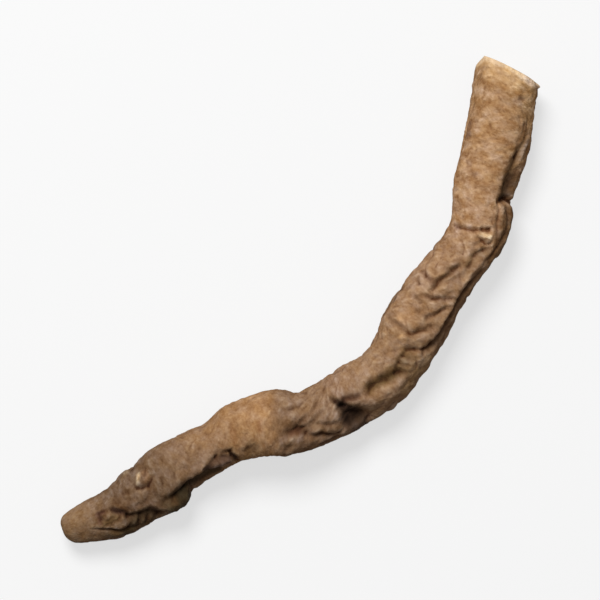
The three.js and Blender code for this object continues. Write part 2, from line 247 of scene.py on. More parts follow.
def read_path(path: Path, at: Array, angle: Array) -> Reading:
    """Measure places on the bark against a path.

    Args:
        path: Its points: distance along the route, angle and, where it isn't 1, share.
        at: Distances along the route.
        angle: Angles round the root.

    Returns:
        How each place lies by the path.
    """
    points = [(*point, 1.0)[:3] for point in path]
    best = np.full(at.shape, np.inf)
    signed, share, to_along, to_around = (np.zeros(at.shape) for _ in range(4))
    last = len(points) - 2
    for number, (start, end) in enumerate(zip(points[:-1], points[1:])):
        along, around = end[0] - start[0], girth(turn_between(start[1], end[1]))
        off_along, off_around = at - start[0], girth(turn_between(start[1], angle))
        length = math.hypot(along, around)
        run = (off_along * along + off_around * around) / length
        t = np.clip(run / length, 0.0, 1.0)
        away_along, away_around = off_along - t * along, off_around - t * around
        away = np.hypot(away_along, away_around)
        side = np.sign(along * off_around - around * off_along)
        past = np.maximum(-run, 0) * (number == 0) + np.maximum(run - length, 0) * (number == last)
        full = (start[2] + t * (end[2] - start[2])) * np.exp(-((past / END_FADE) ** 2))
        closer = away < best
        best = np.where(closer, away, best)
        signed = np.where(closer, away * side, signed)
        share = np.where(closer, full, share)
        to_along = np.where(closer, -away_along / np.maximum(away, LEAST_AWAY), to_along)
        to_around = np.where(closer, -away_around / np.maximum(away, LEAST_AWAY), to_around)
    return Reading(signed, share, to_along, to_around)


@dataclass
class Worked:
    """What has been worked into the bark at each place.

    height is how far the bark is lifted, dark how strongly shade is painted in its creases, and
    along and around how far it is pushed sideways where a lip reaches over a fold.
    """

    height: Array
    dark: Array
    along: Array
    around: Array


@dataclass(frozen=True)
class Fold:
    """A furrow, crease or crack along a path on the bark; a negative depth is a ridge.

    A lip stands on the left of the path as it runs, and may reach over the fold. So a path that
    runs towards the cut end has its lip on the inner side of the bow. Its dark is how strongly
    shade is painted along its groove.
    """

    depth: float
    width: float
    path: Path
    lip: float = 0.0
    lip_width: float = 0.8
    reach: float = 0.0
    dark: float = 0.5

    def work(self, at: Array, angle: Array, worked: Worked) -> None:
        """Work the fold into the bark at each place.

        Args:
            at: Distances along the route.
            angle: Angles round the root.
            worked: What has been worked in so far, which the fold adds to.
        """
        places = [point[0] for point in self.path]
        near = np.flatnonzero((at > min(places) - FELT_WITHIN) & (at < max(places) + FELT_WITHIN))
        line = read_path(self.path, at[near], angle[near])
        groove = np.exp(-((line.signed / self.width) ** 2)) * line.share
        rise = smooth_step(line.signed, *LIP_RISE)
        bank = np.exp(-np.abs(line.signed) / self.lip_width) * rise * line.share
        worked.height[near] += self.lip * bank - self.depth * groove
        worked.along[near] += self.reach * bank * line.to_along
        worked.around[near] += self.reach * bank * line.to_around
        # Painted shade: a narrower band down the groove, which the finish darkens the bark by.
        if self.depth > 0:
            thin = np.exp(-((line.signed / (DARK_WIDTH * self.width)) ** 2)) * line.share
            worked.dark[near] = np.maximum(worked.dark[near], self.dark * thin)


def crease(depth: float, width: float, *path: tuple[float, float], **more: float) -> Fold:
    """Return a short crease that is fullest in the middle of its three points.

    Args:
        depth: How deep it is, below 0 for a ridge.
        width: How wide it is.
        path: Its three points: distance along the route and angle.
        more: The fold's other sizes, such as its lip and how strongly shade is painted in it.

    Returns:
        The fold.
    """
    start, middle, end = path
    points = ((*start, CREASE_END), (*middle, CREASE_MIDDLE), (*end, CREASE_END))
    return Fold(depth, width, points, **more)


@dataclass(frozen=True)
class Stain:
    """A streak or spot of another colour, by its strength, its width and its path; many paint
    shade, and a few paint light, onto the bark.
    """

    colour: Colour
    strength: float
    width: float
    path: Path

    def tint(self, at: Array, angle: Array, tone: Array) -> None:
        """Tint the bark's tone at each place.

        Args:
            at: Distances along the route.
            angle: Angles round the root.
            tone: The colour at each place, which the stain changes.
        """
        line = read_path(self.path, at, angle)
        edge = -STAIN_GONE * self.width, -STAIN_FULL * self.width
        share = self.strength * smooth_step(-np.abs(line.signed), *edge) * line.share
        tone += share[:, None] * (np.array(self.colour) - tone)


@dataclass(frozen=True)
class Swelling:
    """A low swelling of the bark: half lengths along the root and round it, and height."""

    at: float
    angle: float
    along: float
    around: float
    height: float

    def relief(self, at: Array, angle: Array) -> Array:
        """Return how far the swelling lifts the bark.

        Args:
            at: Distances along the route.
            angle: Angles round the root.

        Returns:
            The height at each place.
        """
        along = (at - self.at) / self.along
        around = girth(turn_between(self.angle, angle)) / self.around
        return self.height * np.exp(-along * along - around * around)


@dataclass(frozen=True)
class Wave:
    """A slow wave round the section that turns as it runs along the root."""

    lobes: int
    height: float
    turn_per_mm: float
    start: float

    def relief(self, at: Array, angle: Array) -> Array:
        """Return how far the wave lifts the bark at each place."""
        turn = self.lobes * np.radians(angle) + self.start + self.turn_per_mm * at
        return self.height * np.sin(turn)


FOLDS = (
    # The straight stretch by the cut: a dash, the slit with its outer strip, and the notch.
    Fold(0.09, 0.42, ((4.6, 40, 0.5), (4.9, 30), (5.3, 18, 0.5)), lip=0.06, dark=0.1),
    Fold(
        0.4, 0.6, ((15.3, 36), (14, 38), (12.5, 38), (11.2, 38), (10.2, 41, 0.6)),
        lip=0.1, dark=0.2,
    ),
    Fold(0.35, 0.6, ((15.2, 50, 0.8), (13.8, 52), (12.4, 54, 0.8), (11.6, 56, 0.4)), dark=0.8),
    Fold(
        0.2, 0.42, ((10.8, 40, 0.9), (9.4, 45, 0.8), (8.2, 51, 0.5), (6.6, 58, 0.2)),
        lip=0.04, dark=0.1,
    ),
    Fold(0.1, 0.28, ((10.6, 36, 0.6), (8.6, 32), (6.6, 30, 0.6)), dark=0.3),
    Fold(0.12, 0.22, ((9.2, 36, 0.4), (8, 41), (7, 46, 0.6)), dark=0.5),
    Fold(-0.18, 0.35, ((8.4, 64, 0.5), (9.4, 58), (10.4, 53), (11.3, 50, 0.4))),
    Fold(-0.1, 0.3, ((12, 66, 0.6), (13.4, 64), (14.8, 62, 0.5))),
    Fold(
        0.8, 0.38,
        (
            (15.75, 26, 0.6), (15.55, 45), (15.35, 62),
            (15.5, 78, 0.7), (15.2, 92, 0.4), (15, 106, 0.1),
        ),
        lip=0.08, dark=1.0,
    ),
    Fold(0.2, 0.3, ((15.2, 88, 0.5), (15.8, 104), (15.5, 122, 0.4)), dark=0.5),
    # The second lip, down to the chip.
    Fold(0.15, 0.22, ((19.3, 44, 0.3), (18.3, 37, 0.8), (17, 33), (15.9, 28, 0.7)), dark=0.4),
    Fold(-0.14, 0.32, ((18.8, 46, 0.5), (17.2, 41), (15.9, 38, 0.6))),
    Fold(
        0.2, 0.3,
        ((21, 52, 0.3), (20.2, 54, 0.7), (19, 58), (18, 60, 0.8), (17, 58), (16.1, 52, 0.6)),
        dark=0.4,
    ),
    # The crack across the bend, its pit and the arc round the chip.
    Fold(
        0.32, 0.25, ((19.5, -56, 0.5), (19.3, -32, 0.9), (19.2, -15), (19.05, -3), (18.8, 8)),
        lip=0.08, dark=0.9,
    ),
    Fold(0.5, 0.22, ((18.75, 10, 0.7), (18.6, 17), (18.5, 22)), dark=1.0),
    Fold(
        0.3, 0.2, ((19.65, 34, 0.8), (19.85, 26), (19.75, 17), (19.45, 9, 0.4)),
        lip=0.05, dark=0.9,
    ),
    # The long fold on the outer side, and the furrows on both its sides.
    Fold(0.24, 0.32, ((21.7, 17, 0.6), (21.1, 22), (20.5, 30), (20, 38, 0.7)), lip=0.06, dark=0.6),
    Fold(0.16, 0.35, ((23.6, 22, 0.4), (22.6, 23), (21.6, 20, 0.8)), dark=0.5),
    Fold(
        -0.18, 0.42,
        (
            (20.2, 46, 0.6), (21.2, 38), (22.5, 34), (24, 34),
            (25.5, 37), (27, 42), (29, 44), (31, 40, 0.6),
        ),
    ),
    Fold(
        0.5, 0.48,
        ((32.7, 42, 0.6), (31.5, 51), (30, 57), (28, 58), (26, 54), (24, 52), (22.2, 58, 0.5)),
        lip=0.1, reach=0.06, dark=0.9,
    ),
    # The rumpled stretch after the bend.
    Fold(
        0.42, 0.36,
        (
            (27, -10, 0.5), (26.4, -8, 0.8), (25.7, -10), (25.1, -6, 0.9),
            (24.3, 0, 0.8), (23.6, 2, 0.9), (23.1, 4, 0.5),
        ),
        lip=0.12, dark=0.85,
    ),
    Fold(0.2, 0.3, ((26, -3, 0.6), (25.2, 6, 0.8), (24.6, 16, 0.6), (24, 20, 0.4))),
    Fold(-0.12, 0.35, ((26.4, 2, 0.6), (25.5, 12), (24.5, 24, 0.6))),
    Fold(0.2, 0.3, ((25.75, -52, 0.5), (25.9, -33), (26.1, -16, 0.6)), lip=0.06),
    Fold(0.16, 0.26, ((26.5, -48, 0.5), (27.1, -36, 0.8))),
    Fold(
        0.26, 0.32,
        ((27.9, -20, 0.6), (27.6, -8), (27.4, 4), (27, 16, 0.8), (26.6, 28, 0.8), (26.2, 38, 0.4)),
        lip=0.12, dark=0.75,
    ),
    Fold(0.18, 0.28, ((28.4, -42, 0.5), (28.3, -24, 0.9), (28.45, -12, 0.5)), lip=0.06),
    Fold(
        0.26, 0.36, ((29.5, 11, 0.8), (28.8, 20), (28, 29, 0.7), (27.3, 37, 0.4)),
        lip=0.1, dark=0.75,
    ),
    Fold(0.12, 0.3, ((29.3, -24, 0.4), (29.35, 0, 0.8), (29.2, 10, 0.4))),
    Fold(0.16, 0.35, ((31.3, -56, 0.6), (31.7, -38), (31.6, -20), (31.8, -8, 0.6)), lip=0.1),
    Fold(
        0.26, 0.34, ((31.9, -4, 0.5), (31.5, 3), (31.1, 10), (30.6, 20, 0.8), (30, 26, 0.4)),
        lip=0.12, dark=0.8,
    ),
    Fold(-0.14, 0.36, ((32.35, -9, 0.7), (32.1, 8), (31.6, 20), (31, 30, 0.6))),
    Fold(0.28, 0.28, ((33.4, 6, 0.5), (33.1, 14), (32.7, 28), (32.3, 40, 0.8)), lip=0.08),
    # The trench, the short furrows on its outer side, and the cavern at its end.
    Fold(
        0.72, 0.62,
        (
            (39.4, 8, 0.5), (38.7, 6), (37.8, 5), (37, 8),
            (36.3, 13), (35.7, 18, 0.8), (35.2, 22, 0.5),
        ),
        lip=0.08, dark=0.45,
    ),
    Fold(0.26, 0.42, ((35.5, 12, 0.6), (34.6, 9), (33.7, 8), (33, 5, 0.6)), lip=0.04, dark=0.35),
    Fold(0.2, 0.22, ((34.2, 8, 0.6), (34, 16), (33.8, 24, 0.4)), dark=0.7),
    Fold(0.2, 0.22, ((35, 10, 0.8), (34.8, 18), (34.5, 27, 0.4)), dark=0.7),
    Fold(0.2, 0.22, ((35.9, 17, 0.8), (35.6, 24), (35.3, 32, 0.4)), dark=0.7),
    Fold(0.12, 0.22, ((36.8, 14, 0.7), (36.4, 28, 0.4))),
    Fold(0.36, 0.38, ((41.6, -9, 0.7), (40.9, -6), (40.2, -1), (39.8, 2, 0.4)), dark=0.8),
    Fold(0.5, 0.36, ((42.8, -20, 0.4), (42.55, -12, 0.9), (42.2, 0), (42, 6)), lip=0.1, dark=1.0),
    Fold(0.7, 0.7, ((42.1, 1), (41.8, 14), (41.6, 28), (41.5, 58, 0.6)), dark=1.0),
    Fold(0.7, 0.8, ((41.2, 22, 0.7), (41, 35), (40.8, 50), (40.7, 68, 0.5)), dark=1.0),
    Fold(0.5, 0.6, ((42.2, 22, 0.6), (42.3, 36), (42.4, 52), (42.4, 64, 0.4)), dark=0.9),
    Fold(-0.14, 0.22, ((42.5, -48, 0.5), (42.9, -32), (43.15, -18), (43.2, -8, 0.6))),
    Fold(0.16, 0.22, ((43.1, -34, 0.5), (43.4, -18), (43.5, -4, 0.5))),
    # The slanting creases and the wavy folds before the smooth bulge.
    Fold(0.16, 0.26, ((42.9, -58, 0.5), (43.3, -44, 0.9), (43.6, -30, 0.4))),
    crease(0.2, 0.28, (44.2, -34), (44.8, -22), (45.3, -12), dark=0.7),
    crease(0.24, 0.28, (44.3, -8), (44.9, 2), (45.5, 9), lip=0.04, dark=0.7),
    crease(0.2, 0.28, (46.1, -38), (47.2, -31), (48.4, -25), dark=0.6),
    crease(0.24, 0.28, (45.9, -10), (46.6, 0), (47, 8), lip=0.04, dark=0.7),
    crease(-0.1, 0.26, (45.1, -8), (45.8, 3), (46.2, 11)),
    crease(-0.1, 0.26, (47.6, -6), (48.1, 2), (48.4, 10)),
    Fold(0.22, 0.34, ((45.7, 10, 0.5), (44.8, 18), (44, 26), (43.3, 34, 0.6)), dark=0.5),
    Fold(
        0.42, 0.34, ((46.3, 33, 0.6), (45.6, 38), (45, 42), (44.2, 52, 0.9), (43.5, 60, 0.7)),
        lip=0.1, dark=0.9,
    ),
    Fold(0.3, 0.3, ((45.4, 62, 0.6), (44.2, 68), (43, 76, 0.8)), lip=0.1, dark=0.8),
    Fold(
        0.3, 0.7, ((49.3, 0, 0.4), (48.3, 4, 0.8), (47.3, 9), (46.5, 14), (45.8, 20, 0.5)),
        dark=0.3,
    ),
    Fold(
        0.42, 0.42, ((48.5, 25, 0.4), (47.9, 20, 0.8), (47.2, 18), (46.7, 21), (46.3, 29, 0.7)),
        dark=1.0,
    ),
    Fold(0.2, 0.45, ((48.8, 46, 0.4), (48, 49), (47.3, 45, 0.5)), dark=0.4),
    Fold(0.16, 0.3, ((46.9, 30, 0.6), (46.6, 38), (46.7, 48, 0.5)), dark=0.3),
    Fold(
        0.12, 0.7, ((48.6, -50, 0.3), (49.1, -28), (49.2, -8, 0.6), (49.6, 10), (50, 26, 0.5)),
        dark=0.15,
    ),
    Fold(0.14, 0.4, ((47.6, -24, 0.4), (48.4, -16, 0.8), (49.1, -6, 0.5))),
    # The arched fold and the long dark band that runs under the side.
    Fold(0.3, 0.6, ((53.2, 46, 0.6), (52.6, 40), (51.9, 36, 0.5)), dark=0.5),
    Fold(0.46, 0.34, ((54.7, 28, 0.7), (54.6, 40), (54.5, 58), (54.4, 76)), lip=0.06, dark=0.85),
    Fold(
        0.32, 0.4,
        (
            (58.1, 38, 0.6), (57.4, 29, 0.7), (56.8, 24, 0.9),
            (56.1, 19, 0.7), (55.4, 23), (54.7, 31),
        ),
        lip=0.08, dark=0.6,
    ),
    Fold(0.34, 0.34, ((56.6, 25, 0.5), (56, 30), (55.3, 37, 0.8), (54.9, 42)), dark=0.6),
    Fold(0.2, 0.4, ((58.2, 34, 0.8), (58, 44, 0.6)), dark=0.6),
    Fold(-0.12, 0.3, ((58.4, 46, 0.4), (57.4, 42), (56.4, 41), (55.5, 46, 0.6))),
    Fold(
        0.8, 0.58,
        ((63, 36, 0.3), (62.2, 39, 0.8), (61, 42), (60, 46), (59, 47), (58, 50), (57, 56, 0.6)),
        lip=0.12, reach=0.12, dark=0.6,
    ),
    Fold(0.55, 0.7, ((60.4, 60, 0.8), (59, 66), (57, 68, 0.7), (55.6, 66, 0.5)), dark=0.9),
    Fold(0.35, 0.35, ((60.75, 50, 0.5), (60.7, 70), (60.7, 95)), dark=0.6),
    # The ridge down the side, the rootlet's stub, and the wrinkled hollow before the tip.
    Fold(-0.18, 0.3, ((64.9, 28, 0.6), (64.4, 40), (63.8, 54), (63.3, 70))),
    Fold(
        0.36, 0.26,
        (
            (65.15, -26, 0.3), (65, -17, 0.9), (64.6, -9),
            (64, -5, 0.9), (63.5, -9, 0.5), (63.3, -18, 0.2),
        ),
        dark=1.0,
    ),
    Fold(0.2, 0.35, ((64.4, -56, 0.5), (64.5, -80), (64.4, -100, 0.5))),
    Fold(
        0.5, 0.5, ((67.5, 27), (66.6, 34, 0.8), (65.9, 40), (65.1, 44, 0.8), (64.7, 66)),
        lip=0.06, dark=0.8,
    ),
    Fold(
        0.42, 0.32, ((68.7, -4, 0.5), (68.3, 4), (67.8, 11, 0.9), (67.4, 19, 0.5)),
        lip=0.08, dark=1.0,
    ),
    Fold(0.3, 0.34, ((67.5, 24, 0.7), (67, 29, 0.8), (66.4, 32, 0.5)), dark=0.7),
    Fold(
        0.24, 0.19, ((69.4, -1, 0.4), (69.6, -7, 0.9), (70.1, -6), (70.25, 3, 0.8), (70, 9, 0.4)),
        dark=0.9,
    ),
    Fold(0.16, 0.18, ((69.1, 10, 0.4), (69.5, 14, 0.9), (69.9, 12, 0.5)), dark=0.6),
    Fold(0.2, 0.2, ((68.1, 13, 0.4), (68.4, 18, 0.9), (68.9, 22, 0.5)), dark=0.8),
    crease(0.16, 0.18, (69.4, 18), (69.9, 24), (70.1, 27), dark=0.6),
    crease(0.16, 0.18, (67.4, 2), (67.1, 9), (66.7, 14), dark=0.7),
    crease(0.14, 0.2, (65.9, -14), (66.4, -22), (67.1, -20), dark=0.6),
    Fold(0.14, 0.35, ((66.9, -30, 0.4), (66.5, -24, 0.9), (66.2, -16, 0.5))),
    Fold(0.12, 0.3, ((70, -34, 0.4), (69.9, -18, 0.8), (70.2, -4, 0.4))),
    Fold(-0.14, 0.26, ((71.3, 20, 0.5), (70.2, 27), (69.2, 34), (68.2, 38, 0.6))),
    Fold(
        0.34, 0.34,
        ((71.1, 25, 0.3), (70.6, 29, 0.8), (69.8, 37), (69, 46), (68.2, 54), (67, 60, 0.5)),
        lip=0.05, dark=0.8,
    ),
    Fold(0.14, 0.28, ((67, -12, 0.5), (66.4, -4, 0.8), (65.8, 2, 0.5))),
    Fold(0.26, 0.24, ((65.3, 48, 0.4), (65.9, 55), (66.2, 64, 0.4)), dark=0.8),
    Fold(0.26, 0.22, ((66.3, 42, 0.5), (66.8, 50), (67.1, 60, 0.4)), dark=0.8),
    Fold(0.22, 0.22, ((67.4, 38, 0.4), (67.8, 46), (68, 54, 0.4)), dark=0.8),
    Fold(-0.16, 0.26, ((65.8, 46, 0.4), (66.4, 52), (66.7, 60, 0.4))),
    crease(0.2, 0.2, (69.9, 5), (70.2, 11), (70.1, 18), dark=0.8),
    crease(0.16, 0.2, (68.6, 8), (69, 12), (69, 18), dark=0.6),
    crease(0.14, 0.24, (66, 20), (66.8, 18), (67.2, 12), dark=0.5),
    Fold(0.14, 0.28, ((66.8, 8, 0.5), (66, 16, 0.8), (65.4, 24, 0.6))),
    # The sides and the underside.
    Fold(0.2, 0.6, ((22, -112), (27, -104), (33, -116), (38, -106))),
    Fold(0.3, 0.6, ((21, 84), (25, 88), (29, 80), (33, 86))),
    Fold(0.35, 0.6, ((1.5, 128), (8, 140), (15, 128), (21, 142))),
    Fold(0.4, 0.7, ((20, -128), (27, -142), (35, -124), (43, -136))),
    Fold(0.35, 0.6, ((36, 126), (44, 140), (51, 122), (58, 134))),
    Fold(0.35, 0.6, ((50, -120), (57, -138), (64, -122), (69, -134))),
    Fold(0.3, 0.45, ((24, 120), (25, 160), (24.2, -160)), lip=0.1),
    Fold(0.3, 0.45, ((46, 150), (47, -170), (45.8, -130)), lip=0.1),
    Fold(0.3, 0.45, ((56, 152), (55.2, -168)), lip=0.1),
    crease(0.2, 0.3, (6, -70), (9, -84), (12.5, -78), dark=0.5),
    crease(0.2, 0.32, (10, -118), (13.5, -104), (17, -112), lip=0.05),
    crease(0.16, 0.26, (20.5, -74), (22, -92), (22.6, -112)),
    crease(0.16, 0.26, (34, -66), (35.2, -84), (35.6, -104)),
    crease(0.18, 0.28, (40, -62), (41.4, -80), (41.2, -100), lip=0.05),
    crease(0.16, 0.26, (45.2, -64), (46.4, -84), (46, -106)),
    crease(0.16, 0.3, (56, -72), (59, -84), (62, -76)),
    crease(0.2, 0.28, (24.5, 74), (25.4, 92), (25, 112), lip=0.06),
    crease(0.2, 0.28, (30.6, 72), (31.6, 90), (31.2, 108), lip=0.06),
    crease(0.18, 0.28, (37.4, 78), (38.2, 96), (37.8, 114)),
    crease(0.2, 0.3, (48.6, 84), (50.4, 96), (52.6, 90), lip=0.05),
    crease(0.18, 0.28, (64.6, 84), (65.8, 98), (65.4, 116)),
    crease(0.16, 0.26, (8, 96), (9.2, 112), (8.8, 128)),
)

SWELLINGS = (
    Swelling(2.15, 84, 0.3, 0.4, 0.3),
    Swelling(17.2, 70, 1.5, 0.8, 0.2),
    Swelling(19.15, 18, 0.25, 0.48, 0.14),
    Swelling(30.2, -18, 1.6, 2.0, 0.3),
    Swelling(31.1, -22, 0.5, 0.6, 0.1),
    Swelling(32.3, -12, 0.5, 0.6, 0.12),
    Swelling(37.8, 28, 1.9, 1.1, 0.32),
    Swelling(40.6, -18, 2.2, 1.8, 0.3),
    Swelling(47.1, 33, 0.4, 0.5, 0.1),
    Swelling(48.4, 31, 0.4, 0.5, 0.12),
    Swelling(47.8, 58, 2.4, 1.0, 0.25),
    Swelling(51.4, -14, 3.2, 2.6, 0.3),
    Swelling(53.8, -66, 1.0, 1.0, 0.12),
    Swelling(62.3, 66, 1.4, 1.1, 0.4),
    Swelling(64.3, -25, 0.42, 0.75, 0.3),
    Swelling(65.4, -72, 0.6, 0.9, 0.2),
    Swelling(69.3, 5, 0.35, 0.4, 0.12),
    Swelling(69.75, 0, 0.2, 0.22, 0.08),
    Swelling(68.6, 28, 0.35, 0.35, 0.12),
    Swelling(67, 9, 0.3, 0.3, 0.08),
    Swelling(28, 150, 4, 2, 0.25),
    Swelling(50, -160, 3, 2, 0.3),
)

WAVES = (
    Wave(2, 0.07, 0.11, 0.6),
    Wave(3, 0.06, -0.17, 2.1),
    Wave(5, 0.04, 0.23, 4.0),
)

# Colours of the bark's streaks and spots, and of the shade and light that are painted onto it.
CREAM = (0.80, 0.58, 0.36)
# The cut rim's pale wood, made brighter as painted light where the rim turns from the lamp.
RIM_CREAM_AND_LIGHT = (1.0, 0.74, 0.52)
# A honey yellow: the bark's own yellow band by the cut, and painted light on the outer side behind
# it.
HONEY = (0.68, 0.42, 0.20)
ORANGE = (0.55, 0.30, 0.13)
# A dark brown, used mostly as painted shade in folds and recesses and on the lower sides.
UMBER = (0.15, 0.075, 0.03)
PLUM = (0.19, 0.10, 0.065)
# A dark olive, used mostly as painted shade along folds and in the trench.
OLIVE = (0.17, 0.10, 0.035)
GREY_TAN = (0.30, 0.20, 0.13)
# Near-black painted shade, for the deepest recesses and the darkest undersides.
PAINTED_DEEP_SHADE = (0.03, 0.014, 0.006)
# Near-black olive painted shade, for the band under the side and the lower side before the tip.
PAINTED_OLIVE_SHADE = (0.042, 0.028, 0.011)
ASHEN = (0.27, 0.175, 0.125)
# Painted light for the outer side behind the cut.
PAINTED_GOLDEN_LIGHT = (0.9, 0.58, 0.3)
# Browns used as painted shade down the slit.
RUSSET = (0.2, 0.11, 0.04)
BRONZE = (0.16, 0.088, 0.028)
# Painted light for the underside's edge behind the trench.
PAINTED_SAND_LIGHT = (0.42, 0.27, 0.13)
# Dark ochres used as painted shade in the trench.
OCHRE = (0.14, 0.076, 0.02)
DEEP_OCHRE = (0.09, 0.05, 0.01)
OXBLOOD = (0.1, 0.04, 0.018)
CHESTNUT = (0.13, 0.052, 0.025)
COPPER = (0.29, 0.13, 0.055)
# Painted shade inside the arched fold.
COCOA = (0.105, 0.058, 0.038)
CINNAMON = (0.24, 0.12, 0.05)
# Near-black painted shade in the wrinkled hollow.
PAINTED_BLACK_SHADE = (0.06, 0.028, 0.018)
MAROON = (0.12, 0.05, 0.03)

# The colour along the route, darker towards the tip: partly the bark's own colour, partly painted
# shade.
TONES = (
    (0, (0.44, 0.262, 0.128)),
    (4, (0.425, 0.246, 0.122)),
    (14, (0.415, 0.24, 0.122)),
    (18, (0.40, 0.232, 0.124)),
    (22, (0.34, 0.198, 0.108)),
    (30, (0.34, 0.198, 0.107)),
    (36, (0.315, 0.186, 0.10)),
    (42, (0.30, 0.178, 0.103)),
    (44, (0.262, 0.156, 0.088)),
    (48.5, (0.258, 0.153, 0.085)),
    (50.2, (0.37, 0.202, 0.093)),
    (54, (0.34, 0.19, 0.091)),
    (58, (0.272, 0.157, 0.083)),
    (63, (0.18, 0.11, 0.065)),
    (68.5, (0.175, 0.107, 0.063)),
    (70.5, (0.22, 0.131, 0.072)),
    (72, (0.25, 0.149, 0.077)),
)

